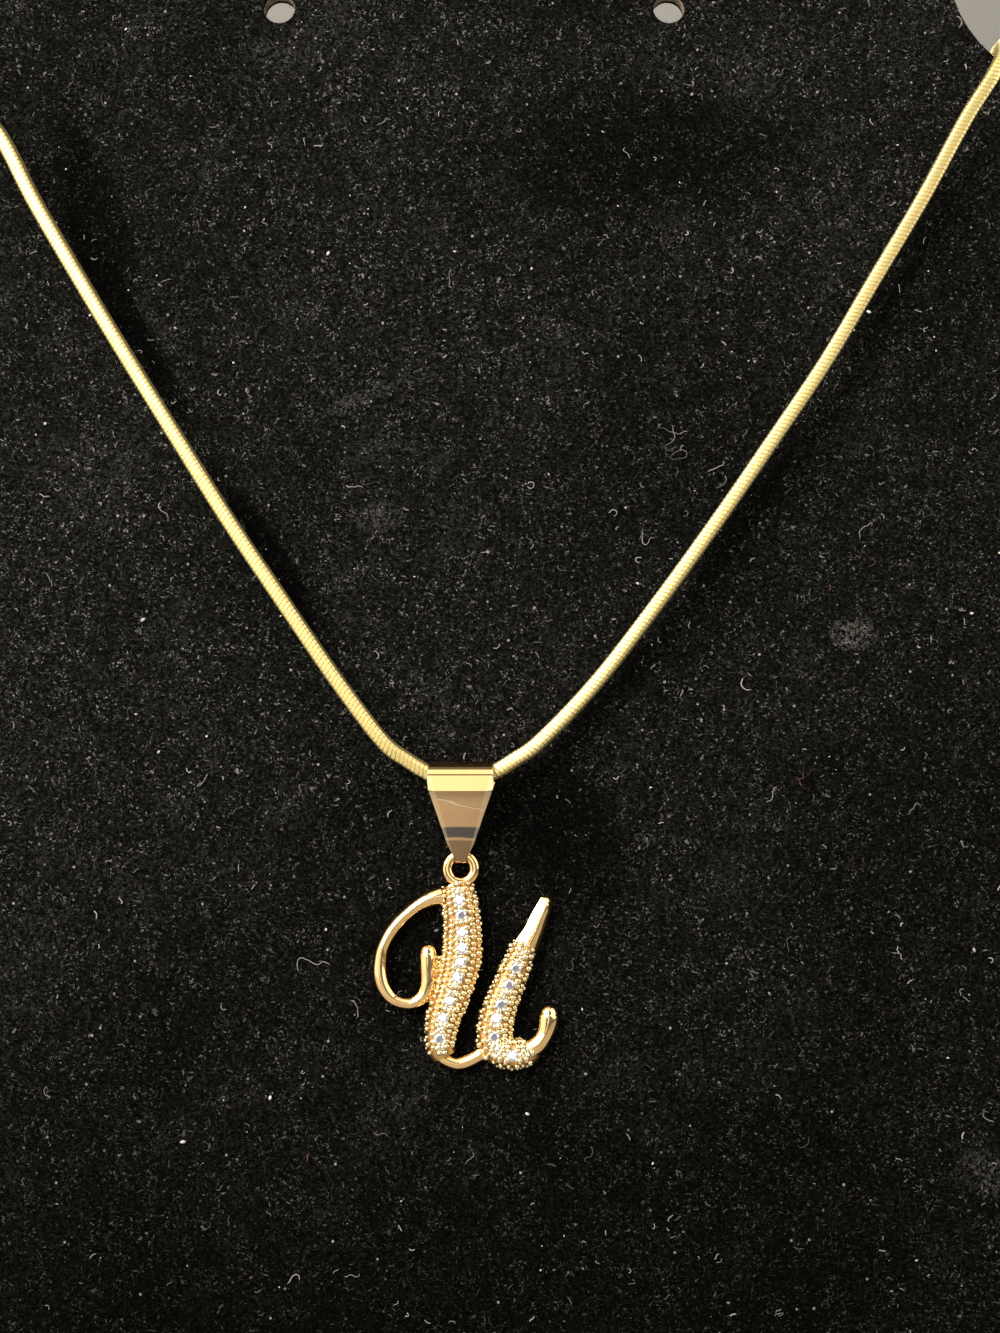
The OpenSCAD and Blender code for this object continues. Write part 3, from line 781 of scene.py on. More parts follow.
@dataclass
class DisplayBoard:
    """The velvet covered board, its easel strut, the holes' bare cores and what the velvet holds."""

    edge_round: float = 0.9
    strut_round: float = 0.45
    hole_x: float = 20.3
    hole_z: float = 5.6
    core_r: tuple[float, float] = (1.60, 1.665)
    core_depth: tuple[float, float] = (0.75, 2.05)
    core_sides: int = 48
    seed: int = 11
    pile_fibres: int = 46000
    pile_length: tuple[float, float] = (0.22, 0.5)
    pile_width: float = 0.055
    pile_lift: float = 0.35
    pile_lean: float = 0.75
    floor_clear: float = 0.55
    crumb_count: int = 520
    crumb_r: tuple[float, float] = (0.05, 0.18)
    crumb_out: float = 0.16
    fluff_count: int = 1000
    fluff_step: tuple[float, float] = (0.04, 0.12)
    fluff_half: tuple[float, float] = (0.035, 0.085)
    fluff_out: float = 0.22
    fluff_span: tuple[float, float] = (-0.42, -0.12)
    thread_out: float = 0.25
    lint_step: float = 0.22
    pink_step: float = 0.2
    pink_half: float = 0.06
    velvet: VelvetFinish = VelvetFinish()
    # The nap fibres are painted darker in the velvet's painted shadows of the chain and the pendant
    nap: FibreFinish = FibreFinish(
        "velvet_nap", rgb(0.003, 0.003, 0.0025), rgb(0.050, 0.048, 0.042), 2.6, VelvetFinish.painted_shadows
    )
    fluff: FibreFinish = FibreFinish(
        "pale_fluff", rgb(0.060, 0.058, 0.053), rgb(0.35, 0.34, 0.32), 0.14
    )
    pink: FibreFinish = FibreFinish("pink_lint", rgb(0.12, 0.05, 0.045), rgb(0.22, 0.10, 0.09), 0.5)
    crumbs: FibreFinish = FibreFinish(
        "pale_crumbs", rgb(0.12, 0.11, 0.10), rgb(0.62, 0.60, 0.57), 0.13
    )
    core: BoardCore = BoardCore()

    def cover(self) -> bpy.types.Mesh:
        """The board's velvet cover, its edges rounded."""
        blank = Blank("velvet_board")
        blank.copy_of("display_board")
        blank.soften(self.edge_round, 4)
        bmesh.ops.triangulate(blank.bm, faces=[f for f in blank.bm.faces if len(f.verts) > 4])
        return blank.mesh(50.0)

    def strut(self) -> bpy.types.Mesh:
        """The easel strut, its edges rounded."""
        blank = Blank("velvet_strut")
        blank.copy_of("easel_strut")
        blank.soften(self.strut_round, 3)
        return blank.mesh(50.0)

    def sleeve(self) -> bpy.types.Mesh:
        """The bare core in the walls of both holes."""
        blank = Blank("hole_cores")
        (thin, wide), (front, back) = self.core_r, self.core_depth
        angles = [2 * math.pi * k / self.core_sides for k in range(self.core_sides)]
        for side in (-1, 1):
            middle = Vector((side * self.hole_x, 0, self.hole_z))
            rings = [
                [middle + Vector((radius * math.cos(a), depth, radius * math.sin(a))) for a in angles]
                for radius, depth in ((wide, front), (thin, front), (thin, back), (wide, back))
            ]
            blank.loft(rings, joined=True)
        return blank.mesh()

    def over_floor(self, spot: Sequence[float]) -> bool:
        """Whether a spot is high enough over the floor for loose fibres and dust."""
        return (SETTING @ Vector(spot)).z > self.floor_clear * MM

    @staticmethod
    def spots(cover: BVHTree, count: int, chance: np.random.Generator, front: bool) -> tuple:
        """Random spots on the velvet.

        They are drawn on the CAD solid, whose triangles come in the same order each run, and moved
        to the rounded cover.

        Args:
            cover: The cover's faces.
            count: How many spots.
            chance: The random source.
            front: True for the face that looks forward alone.

        Returns:
            The spots and the solid's normals there, as two arrays.
        """
        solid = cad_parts["display_board"].data.copy()
        solid.transform(SETTING.inverted())
        solid.calc_loop_triangles()
        corners = np.empty(len(solid.loop_triangles) * 3, dtype=np.int32)
        solid.loop_triangles.foreach_get("vertices", corners)
        verts = np.empty(len(solid.vertices) * 3)
        solid.vertices.foreach_get("co", verts)
        tri = verts.reshape(-1, 3)[corners.reshape(-1, 3)]
        normal = np.cross(tri[:, 1] - tri[:, 0], tri[:, 2] - tri[:, 0])
        area = np.linalg.norm(normal, axis=1)
        normal /= np.maximum(area, 1e-12)[:, None]
        if front:
            area = area * (normal[:, 1] < -0.9)
        picks = chance.choice(len(tri), size=count, p=area / area.sum())
        u, v = chance.random(count), chance.random(count)
        flip = u + v > 1
        u[flip], v[flip] = 1 - u[flip], 1 - v[flip]
        a, b, c = tri[picks, 0], tri[picks, 1], tri[picks, 2]
        drawn = a + u[:, None] * (b - a) + v[:, None] * (c - a)
        bpy.data.meshes.remove(solid)
        return np.array([cover.find_nearest(spot)[0] for spot in drawn]), normal[picks]

    def pile(self, cover: BVHTree) -> bpy.types.Mesh:
        """Short fibres that stand out of the velvet, which give it its nap and its soft edge."""
        chance = np.random.default_rng(self.seed)
        spots, normals = self.spots(cover, self.pile_fibres, chance, False)
        blank = Blank("fibre")
        bmesh.ops.create_cone(
            blank.bm, cap_ends=True, segments=3, radius1=self.pile_width, radius2=0.0, depth=1.0,
            matrix=Matrix.Translation((0, 0, self.pile_lift)),
        )
        fibre = blank.mesh(None)
        places = []
        leans = chance.normal(0.0, self.pile_lean, (len(spots), 3))
        lengths = chance.uniform(*self.pile_length, len(spots))
        for spot, normal, lean, length in zip(spots, normals, leans, lengths):
            if not self.over_floor(spot):
                continue
            way = Vector(normal + lean)
            # A fibre that would lie flat or point inwards leans less
            if way.dot(Vector(normal)) < 0.15:
                way = Vector(normal) + Vector(lean) * 0.3
            turn = way.to_track_quat("Z", "Y").to_matrix().to_4x4()
            places.append(Matrix.Translation(spot) @ turn @ Matrix.Diagonal((1, 1, length, 1)))
        return array_of("velvet_pile", fibre, places)

    def crumbs_mesh(self, cover: BVHTree) -> bpy.types.Mesh:
        """Pale crumbs of dust on the velvet, most of them small."""
        chance = np.random.default_rng(self.seed + 1)
        spots, _ = self.spots(cover, self.crumb_count, chance, True)
        blank = Blank("crumb")
        bmesh.ops.create_icosphere(blank.bm, subdivisions=1, radius=1.0)
        crumb = blank.mesh(None)
        places = []
        small, large = self.crumb_r
        for spot in spots:
            if not self.over_floor(spot):
                continue
            size = small + (large - small) * float(chance.random()) ** 3
            grow = 1.0 + float(chance.random()) * 0.9
            turn = Matrix.Rotation(float(chance.random()) * math.tau, 4, "Y")
            shape = Matrix.Diagonal((size * grow, size * 0.7, size, 1))
            places.append(Matrix.Translation(Vector(spot) + FORWARD * self.crumb_out) @ turn @ shape)
        return array_of("dust_crumbs", crumb, places, 80.0)

    def wander(
        self, at: Vector, heading: float, steps: int, step: float, chance: random.Random
    ) -> list[Vector]:
        """The line of a curled fibre that lies on the velvet.

        Args:
            at: Where it starts.
            heading: Its first direction over the board, in radians.
            steps: How many pieces it has.
            step: Their length.
            chance: The random source.

        Returns:
            The line's points.
        """
        bend = chance.uniform(-0.35, 0.35)
        line = [at.copy()]
        for _ in range(steps):
            bend = bend * 0.4 + chance.uniform(-0.75, 0.75)
            heading += bend
            rise = chance.uniform(-0.05, 0.05)
            at = at + Vector((math.cos(heading) * step, rise, math.sin(heading) * step))
            at.y = min(self.fluff_span[1], max(self.fluff_span[0], at.y))
            line.append(at.copy())
        return line

    def thread(self, row: Sequence[float], step: float, chance: random.Random) -> list[Vector]:
        """The line of a thread of lint, from its row of a table."""
        across, up, turn, length = row[:4]
        start = Vector((across, -self.thread_out, up))
        return self.wander(start, math.radians(turn), int(length / step), step, chance)

    def fluff_mesh(self, cover: BVHTree) -> bpy.types.Mesh:
        """Curled pale fibres caught in the velvet, and the threads of lint that the photo shows."""
        chance = random.Random(self.seed + 2)
        source = np.random.default_rng(self.seed + 3)
        spots, _ = self.spots(cover, self.fluff_count, source, True)
        lines, widths = [], []
        for spot in spots:
            step = chance.uniform(*self.fluff_step) * (2.4 if chance.random() < 0.08 else 1.0)
            heading = chance.choice((0.0, math.pi)) + chance.gauss(0.0, 0.8)
            line = self.wander(Vector(spot) + FORWARD * self.fluff_out, heading, 8, step, chance)
            width = chance.uniform(*self.fluff_half)
            if all(self.over_floor(point) for point in line):
                lines.append(line)
                widths.append(width)
        for row in LINT:
            lines.append(self.thread(row, self.lint_step, chance))
            widths.append(row[4])
        return strands("fluff_strands", lines, widths)

    def threads_mesh(self) -> bpy.types.Mesh:
        """The few pink threads on the velvet."""
        chance = random.Random(self.seed + 4)
        lines = [self.thread(row, self.pink_step, chance) for row in PINK_THREADS]
        return strands("pink_threads", lines, [self.pink_half] * len(lines))

    def build(self) -> None:
        """Builds and places every piece of the display."""
        velvet = self.velvet.material()
        cover = self.cover()
        faces = BVHTree.FromPolygons(
            [v.co for v in cover.vertices], [p.vertices for p in cover.polygons]
        )
        for mesh, material, nodes in (
            (cover, velvet, ["display_board"]), (self.strut(), velvet, ["easel_strut"]),
            (self.pile(faces), self.nap.material(), []),
            (self.crumbs_mesh(faces), self.crumbs.material(), []),
            (self.fluff_mesh(faces), self.fluff.material(), []),
            (self.threads_mesh(), self.pink.material(), []),
            (self.sleeve(), self.core.material(), []),
        ):
            place(mesh, material, Body.DISPLAY, Slot.VELVET, nodes)


# ---- the chain ----

# The chain's centre line from the clasp over the right shoulder: right of the board's middle, out
# from its face, up from the line where it crosses the shoulders
BACK_ROUTE = [
    (5.2, -26.7, -99.2), (8.0, -26.6, -98.8), (13.1, -26.0, -96.0), (20.0, -24.8, -90.8),
    (25.8, -23.5, -84.3), (30.6, -21.9, -77.1), (34.6, -20.3, -69.6), (38.2, -18.7, -61.7),
    (41.3, -17.0, -53.7), (44.0, -15.2, -45.6), (46.5, -13.5, -37.4), (48.7, -11.7, -29.1),
    (50.8, -10.0, -20.8), (52.8, -8.2, -12.4), (54.2, -6.6, -5.4), (54.6, -5.4, -1.4),
    (54.6, -3.6, 0.7),
]
# The two halves, which go on down the front into the bail, in the same columns
LEFT_ROUTE = [(-across, out, up) for across, out, up in BACK_ROUTE] + [
    (-54.6, -1.5, 1.0), (-54.5, 0.7, 0.9), (-54.2, 2.8, -0.4),
    (-53.1, 4.3, -3.0), (-51.5, 4.7, -5.8), (-47.8, 4.6, -9.9), (-44.3, 4.4, -16.5),
    (-39.5, 4.2, -24.7), (-34.5, 4.0, -32.9), (-29.5, 3.8, -40.9), (-24.4, 3.5, -49.0),
    (-19.0, 3.3, -57.0), (-13.5, 3.0, -65.0), (-9.0, 2.8, -70.9), (-6.5, 2.6, -72.85),
    (-4.3, 2.55, -74.15), (-2.6, 2.55, -74.6), (-1.28, 2.55, -74.65),
]
RIGHT_ROUTE = BACK_ROUTE + [
    (54.6, -1.6, 1.0), (54.6, 0.5, 0.9), (54.3, 2.4, 0.2),
    (53.7, 4.0, -1.6), (52.3, 4.7, -4.2), (49.7, 4.6, -8.3), (45.2, 4.4, -16.5),
    (40.3, 4.2, -24.7), (35.4, 4.0, -32.9), (30.0, 3.8, -40.9), (24.4, 3.5, -49.0),
    (18.6, 3.3, -57.0), (12.4, 3.0, -65.0), (6.8, 2.8, -70.9), (4.1, 2.6, -72.85),
    (1.9, 2.55, -74.15), (0.2, 2.55, -74.6), (-1.12, 2.55, -74.65),
]


@dataclass
class SnakeChain:
    """The snake chain: thin plates, rounded square, each nested in the next."""

    pitch: float = 0.46
    plate_t: float = 0.46
    half_side: float = 0.72
    corner_r: float = 0.42
    groove: float = 0.12
    flat_share: float = 0.38
    wave: float = 0.18
    corner_steps: int = 4
    row_samples: int = 40
    front_run: float = 106.0
    left_rolls: tuple[float, float] = (-13.0, -19.0)
    right_rolls: tuple[float, float] = (-12.0, 8.0)
    in_bail: float = 0.78
    bail_side: tuple[float, float] = (2.7, 3.2)
    finish: GoldFinish = GoldFinish(
        "chain_plating", rgb(0.95, 0.81, 0.39), rgb(0.90, 0.72, 0.31), 0.43, 0.06, 3.0, 0.004, 0.3, 0.0
    )
    clasp_r: float = 1.5
    clasp_half: float = 5.0
    clasp_edge: float = 0.4
    collar_r: float = 1.05
    collar_l: float = 1.6
    collar_edge: float = 0.2
    neck: tuple[float, float] = (0.25, 0.05)
    seam: tuple[float, float, float] = (0.16, 0.08, 0.14)
    clasp_at: Vector = field(default_factory=lambda: Vector((0, 26.7, -99.2)))

    def outline(self) -> list[tuple[float, float]]:
        """The plate's rounded square outline."""
        flat = self.half_side - self.corner_r
        found = []
        for corner in range(4):
            for step in range(self.corner_steps + 1):
                angle = math.pi / 2 * (corner + step / self.corner_steps)
                x = math.copysign(flat, (1, -1, -1, 1)[corner]) + self.corner_r * math.cos(angle)
                y = math.copysign(flat, (1, 1, -1, -1)[corner]) + self.corner_r * math.sin(angle)
                found.append((x, y))
        return found

    def plate(self) -> bpy.types.Mesh:
        """One plate, along Z, bent across its corners so that it nests in the next."""
        blank = Blank("plate")
        rings = []
        low, flat = 1 - self.groove, self.flat_share
        for height, shrink in ((-0.5, low), (-flat, 1.0), (flat, 1.0), (0.5, low)):
            rings.append([])
            for x, y in self.outline():
                bent = self.plate_t * height - self.wave * math.sin(2 * math.atan2(y, x))
                rings[-1].append(Vector((x * shrink, y * shrink, bent)))
        blank.loft(rings)
        return blank.mesh(40.0)

    def run(self, name: str, route: Sequence[Sequence[float]], rolls: Sequence[float]) -> bpy.types.Mesh:
        """One half of the chain.

        Args:
            name: The mesh's name.
            route: Its centre line's rows, ending inside the bail.
            rolls: The turn of the plates about the chain at the bail and the shoulder, in degrees.

        Returns:
            The half's mesh.
        """
        last = len(route) - 1
        steps = np.linspace(0, last, self.row_samples * last)
        line = np.array([curve_through(route, t) for t in steps])[::-1] * (1, -1, 1)
        reach = np.r_[0, np.cumsum(np.linalg.norm(np.diff(line, axis=0), axis=1))]
        count = int(reach[-1] / self.pitch)
        stops = (np.arange(count) + 0.5) * reach[-1] / count
        points = np.array([[np.interp(s, reach, line[:, k]) for k in range(3)] for s in stops])
        ways = np.gradient(points, axis=0)
        ways /= np.linalg.norm(ways, axis=1)[:, None]
        out = np.array(FORWARD)
        places = []
        for point, way, at in zip(points, ways, stops):
            out = out - way * (out @ way)
            out /= np.linalg.norm(out)
            turn = turn_onto(np.cross(out, way), out, way)
            roll = Matrix.Rotation(math.radians(np.interp(at, (0.0, self.front_run), rolls)), 4, "Z")
            grow = float(np.interp(abs(point[0] - PENDANT_X), self.bail_side, (self.in_bail, 1.0)))
            places.append(Matrix.Translation(point) @ turn @ roll @ Matrix.Diagonal((grow, grow, 1, 1)))
        return array_of(name, self.plate(), places, 40.0)

    def clasp(self) -> bpy.types.Mesh:
        """The barrel clasp: two collars and a body with a seam round its middle."""
        blank = Blank("barrel_clasp")
        body = self.clasp_half - self.collar_l
        r, c, end = self.clasp_r, self.collar_r, self.clasp_half
        edge, bevel = self.collar_edge, self.clasp_edge
        neck_l, neck_rise = self.neck
        seam_half, seam_floor, seam_deep = self.seam
        half = [
            (-end, 0.0), (-end, c - edge), (-end + edge, c), (-body - neck_l, c), (-body, c + neck_rise),
            (-body, r - bevel), (-body + bevel, r), (-seam_half, r), (-seam_floor, r - seam_deep),
        ]
        profile = half + [(-x, z) for x, z in reversed(half)]
        verts = [blank.bm.verts.new(self.clasp_at + Vector((x, 0, z))) for x, z in profile]
        edges = [blank.bm.edges.new(pair) for pair in zip(verts, verts[1:])]
        bmesh.ops.spin(
            blank.bm, geom=verts + edges, cent=self.clasp_at, axis=(1, 0, 0), angle=math.tau, steps=48,
            use_merge=True,
        )
        return blank.mesh()

    def build(self) -> None:
        """Builds and places both halves and the clasp."""
        gold = self.finish.material()
        left = self.run("snake_chain_left", LEFT_ROUTE, self.left_rolls)
        right = self.run("snake_chain_right", RIGHT_ROUTE, self.right_rolls)
        for mesh, node in ((left, "chain_left"), (right, "chain_right"), (self.clasp(), "clasp")):
            place(mesh, gold, Body.DISPLAY, Slot.CHAIN, [node])


# ---- the bail ----


@dataclass
class Bail:
    """One folded strip of polished sheet, over the chain and through the letter's ring."""

    sheet: float = 0.32
    bend_r: float = 2.25
    foot_r: float = 1.05
    top_w: float = 6.2
    wide_w: float = 6.75
    throat_w: float = 2.04
    strip_w: float = 1.2
    bevel_w: float = 0.7
    bevel_t: float = 0.18
    edge: float = 0.05
    strip_top: float = -0.35
    taper_foot: float = 0.12
    brow_deg: float = 20.8
    bend_steps: int = 38
    foot_steps: int = 22
    top: Vector = field(default_factory=lambda: Vector((-2.55, -75.21)))
    foot: Vector = field(default_factory=lambda: Vector((-1.35, -82.15)))
    finish: CreasedGold = CreasedGold(
        "bail_polish", rgb(0.98, 0.68, 0.29), rgb(0.94, 0.62, 0.27), 0.07, 0.05, 1.6, 0.0010, 0.28, 0.008
    )

    def half_at(self, z: float) -> float:
        """Half the strip's width at a height."""
        foot, top = self.foot.y, self.top.y
        heights = (foot + self.strip_top, foot + self.taper_foot, top, top + self.bend_r)
        return float(np.interp(z, heights, (self.strip_w, self.throat_w, self.wide_w, self.top_w))) / 2

    def stations(self) -> list[tuple[Vector, Vector, float]]:
        """The strip's outer side, station by station.

        Returns:
            For each station, its point, the way out of the sheet, and how much bevel it has.
        """
        span = self.foot - self.top
        down = math.atan2(span.y, span.x)
        quarter = math.pi / 2 - math.asin((self.bend_r - self.foot_r) / span.length)
        brow = math.pi - math.radians(self.brow_deg)
        found = self.arc(self.top, self.bend_r, down + quarter, brow, self.bend_steps)
        fold = self.arc(self.top, self.bend_r, brow, down - quarter + math.tau, 1)
        foot = self.arc(self.foot, self.foot_r, down - quarter, down + quarter, self.foot_steps)
        found += self.flat(fold[0], fold[1], (0.0, 0.10, 0.45), (0.08, 0.92))
        found += self.flat(fold[1], foot[0], (0.45, 1.0, 1.0), (0.012, 0.2, 0.4, 0.6, 0.8, 0.985))
        return found + foot

    @staticmethod
    def arc(middle: Vector, radius: float, start: float, end: float, steps: int) -> list:
        """Stations round an arc."""
        found = []
        for k in range(steps + 1):
            angle = start + (end - start) * k / steps
            out = Vector((math.cos(angle), math.sin(angle)))
            found.append((middle + radius * out, out, 0.0))
        return found

    @staticmethod
    def flat(first: tuple, last: tuple, bevels: Sequence[float], shares: Sequence[float]) -> list:
        """Stations along a flat between two folds.

        Args:
            first: The station at its start.
            last: The station at its end.
            bevels: How much bevel it has at its start, along it, and at its end.
            shares: Where its stations lie, as shares of its length.

        Returns:
            The stations, without the one at its start.
        """
        along = (last[0] - first[0]).normalized()
        out = Vector((along.y, -along.x))
        out = out if out.dot(first[1]) > 0 else -out
        found = [(first[0].lerp(last[0], share), out, bevels[1]) for share in shares]
        return found + [(last[0], (last[1] + out).normalized(), bevels[2])]

    def section(self, outer: Vector, out: Vector, bevel: float) -> list[Vector]:
        """The strip's cross section at a station."""
        inner = outer - self.sheet * out
        w, v = self.half_at(outer.y), self.half_at(inner.y)
        e, share = self.edge, 2 * w / self.wide_w
        cut = e + bevel * (self.bevel_w * share - e)
        drop = e + bevel * (self.bevel_t * share - e)
        low = outer - drop * out
        side = inner + e * out
        flat = [
            (-w + cut, outer), (w - cut, outer), (w, low), (v, side), (v - e, inner), (-v + e, inner),
            (-v, side), (-w, low),
        ]
        return [Vector((PENDANT_X + x, p.x, p.y)) for x, p in flat]

    def build(self) -> None:
        """Builds and places the bail."""
        blank = Blank("folded_bail")
        blank.loft([self.section(*station) for station in self.stations()], joined=True)
        place(blank.mesh(28.0), self.finish.material(), Body.BAIL, Slot.POLISHED, ["bail"])


# ---- the letter ----

# Strokes of the letter: across in percent of its width, down in percent of its height, width
# and thickness in percent of the stroke's own
LEFT_STEM = [
    (-3.0, 0, 69, 84), (-1.6, 4.8, 88, 96), (-0.5, 10.2, 92, 100), (0.4, 16.1, 93, 100),
    (1.0, 28.5, 97, 100), (0.7, 38.2, 100, 100), (-1.1, 47.8, 97, 100), (-4.6, 59.7, 92, 100),
    (-7.1, 65.6, 91, 100), (-9.3, 71.5, 87, 100), (-10.6, 77.4, 84, 100), (-11.3, 83.3, 77, 100),
    (-10.6, 88.7, 74, 96), (-8.4, 93, 62, 84),
]
RIGHT_STEM = [
    (35.1, 32.3, 58, 86), (33.1, 37.6, 69, 97), (30, 46, 76, 100), (26.7, 53.8, 79, 100),
    (22.9, 62.9, 84, 100), (20.2, 70.4, 87, 100), (18.8, 78, 91, 100), (18.5, 84.4, 91, 100),
    (19.9, 90.3, 79, 97), (21.5, 95.2, 50, 84),
]
FOOT = [
    (16.6, 86, 50, 90), (18.6, 88.8, 66, 97), (22.6, 90.6, 76, 100), (28, 91.7, 76, 100),
    (33.5, 91.1, 75, 100), (37.9, 89.8, 66, 95), (41.1, 88.2, 46, 80),
]
SWASH = [
    (-10.1, 6.5, 139, 100), (-17.7, 8.3, 115, 100), (-26.2, 13.4, 98, 96), (-36.2, 22.8, 98, 92),
    (-42.5, 33.6, 94, 92), (-44.2, 41.9, 103, 94), (-44.1, 49.5, 109, 96), (-41.7, 56.7, 103, 96),
    (-36.8, 62.3, 94, 94), (-29.2, 64.5, 92, 94), (-23.7, 62.9, 102, 98), (-19.6, 58.9, 115, 100),
    (-17.9, 52.7, 118, 104), (-18.1, 45.2, 122, 106), (-18.1, 39.2, 130, 106), (-18, 37.2, 124, 100),
]
FLANK = [
    (-13.8, 38.5, 40, 80), (-13, 45, 66, 100), (-13.2, 51.5, 82, 100), (-14.7, 58, 82, 100),
    (-16.6, 63, 60, 90),
]
BAR = [
    (-13.4, 90.3, 81, 90), (-9.5, 93.8, 88, 96), (-3, 96.5, 91, 100), (1.4, 96.1, 98, 100),
    (5.7, 94.4, 101, 100), (10.6, 91.7, 101, 100), (15.5, 88.2, 101, 100),
]
HOOK = [
    (37.3, 89.2, 115, 104), (42, 86.3, 111, 104), (45.2, 82.3, 102, 100), (47.1, 78, 108, 100),
    (48, 73.7, 118, 100), (48.2, 71.2, 116, 98), (48.3, 70.2, 104, 94),
]
TIP = [
    (35.4, 34.9, 98, 100), (37.8, 30.6, 92, 98), (40.3, 25.8, 81, 92), (42.7, 19.9, 74, 84),
    (45, 14.9, 67, 78), (46.2, 11.9, 60, 73), (46.7, 10.4, 54, 68),
]
# Cross sections: across in half widths, out from the back in thicknesses. The first two are only
# the right half, from its foot to its top
DOMED = [(0.86, 0), (1, 0.12), (1, 0.5), (0.74, 0.8), (0.4, 0.97), (0, 1)]
KEELED = [(0.55, 0), (0.9, 0.16), (1, 0.42), (0.9, 0.67), (0.62, 0.86), (0.12, 0.985), (0, 1)]
RIDGED = [
    (-0.8, 0), (0.8, 0), (1, 0.14), (1, 0.54), (0.93, 0.64), (-0.08, 0.995), (-0.16, 0.995),
    (-0.24, 0.97), (-0.76, 0.66), (-1, 0.36), (-1, 0.12),
]
# The domed section's shares across and out, from its top to its side
DOME_ACROSS, DOME_OUT = zip(*DOMED[:1:-1])
# The rows of the stems at which the stones lie
LEFT_STONES = (1.75, 3.05, 3.8, 4.6, 5.4, 6.2, 7.45, 9.05, 10.9)
RIGHT_STONES = (1.9, 3.05, 4.2, 5.25, 6.6)
FOOT_STONES = (3.1,)
# Prongs round a stone: turn from the stem's way in degrees, share of a grain's size and distance
# from the girdle
PRONGS = [
    (0, 1.0, 0.20), (180, 1.0, 0.20), (48, 0.80, 0.02), (132, 0.80, 0.02), (228, 0.80, 0.02),
    (312, 0.80, 0.02),
]
# Rings of a stone's corners: their count, share of the girdle's radius, first angle in degrees and
# height over the girdle in diameters
CUT = [
    (8, 0.56, 22.5, 0.16), (8, 0.80, 0.0, 0.088), (16, 1.0, 0.0, 0.0), (16, 1.0, 0.0, -0.035),
    (8, 0.55, 11.25, -0.21), (1, 0.0, 0.0, -0.42),
]


def whole(half: Sequence[tuple[float, float]]) -> list[tuple[float, float]]:
    """A whole section, from its right half."""
    return [(-half[0][0], 0), *half, *((-x, y) for x, y in reversed(half[1:-1]))]


def round_section(count: int = 20, power: float = 0.82) -> list[tuple[float, float]]:
    """The section of a polished stroke, a soft oval."""
    found = []
    for k in range(count):
        angle = -math.pi / 2 - math.pi / count + math.tau * k / count
        c, s = math.cos(angle), math.sin(angle)
        across, out = math.copysign(abs(c) ** power, c), math.copysign(abs(s) ** power, s)
        found.append((across, 0.5 + 0.5 * out))
    return found


@dataclass
class Stroke:
    """One stroke of the letter: its rows, and the width and thickness that they are shares of."""

    rows: Sequence[Sequence[float]]
    width: float
    thickness: float
    section: Sequence[tuple[float, float]]
    steps: int = 6
    round_end: bool = False
    end_turns: tuple = (15, 30, 45, 58, 70, 80)
    side_tilt: float = 68.0
    body: float = 1.0
    letter_h: float = 18.25
    letter_w: float = 18.05
    stem_top: float = 2.94

    def at(self, t: float) -> tuple[Vector, float, float]:
        """The stroke at a row that need not be whole.

        Returns:
            Its centre on the back plane, half its width and its thickness.
        """
        row = curve_through(self.rows, t)
        centre = Vector((
            PENDANT_X + self.letter_w * row[0] / 100, -VELVET_GAP,
            RING_AXIS.z - self.stem_top - self.letter_h * row[1] / 100,
        ))
        return centre, self.width * row[2] / 200, self.thickness * row[3] / 100

    def way(self, t: float) -> Vector:
        """The direction in which the stroke runs at a row."""
        last = len(self.rows) - 1
        return (self.at(min(t + 0.02, last))[0] - self.at(max(t - 0.02, 0))[0]).normalized()

    def evenly(self, start: float, end: float, gap: float, shift: float = 0.0) -> list[float]:
        """Rows at even distances along the stroke.

        Args:
            start: The row where they start.
            end: The row that they don't pass.
            gap: The distance between two of them, in millimetres.
            shift: How far all of them are moved on, as a share of the gap.

        Returns:
            The rows.
        """
        stops = np.linspace(start, end, 400)
        centres = [self.at(t)[0] for t in stops]
        reach = np.r_[0, np.cumsum([(b - a).length for a, b in zip(centres, centres[1:])])]
        return [float(np.interp((j + shift) * gap, reach, stops)) for j in range(int(reach[-1] / gap))]

    def ring(
        self, centre: Vector, way: Vector, half: float, high: float, low: float = 0.0
    ) -> list[Vector]:
        """The section's points round a centre."""
        side = aside(way) * half
        return [centre + side * x + FORWARD * (low + (high - low) * y) for x, y in self.section]

    def cast(self, blank: Blank) -> None:
        """Lofts the stroke into a piece."""
        last = len(self.rows) - 1
        stops = [k / self.steps for k in range(last * self.steps + 1)]
        rings = []
        for t in stops:
            centre, half, high = self.at(t)
            rings.append(self.ring(centre, self.way(t), half * self.body, high * self.body))
        if self.round_end:
            centre, half, high = self.at(last)
            half, high = half * self.body, high * self.body
            way = self.way(last)
            for angle in self.end_turns:
                c, s = math.cos(math.radians(angle)), math.sin(math.radians(angle))
                drop = high * 0.5 * (1 - c)
                rings.append(self.ring(centre + way * half * s, way, half * c, high - drop, drop))
        blank.loft(rings)

    def surface(self, t: float, across: float) -> tuple[Vector, Vector]:
        """A point of a domed stroke's front and the way out of it.

        Args:
            t: The row.
            across: The distance from the stroke's middle, in millimetres.

        Returns:
            The point and the outward direction.
        """
        centre, half, high = self.at(t)
        side = aside(self.way(t))
        share = max(-1.0, min(1.0, across / half))
        rise = float(np.interp(abs(share), DOME_ACROSS, DOME_OUT))
        tilt = math.radians(self.side_tilt) * abs(share) ** 1.7
        out = FORWARD * math.cos(tilt) + side * math.copysign(math.sin(tilt), share)
        return centre + side * share * half + FORWARD * (high * rise), out


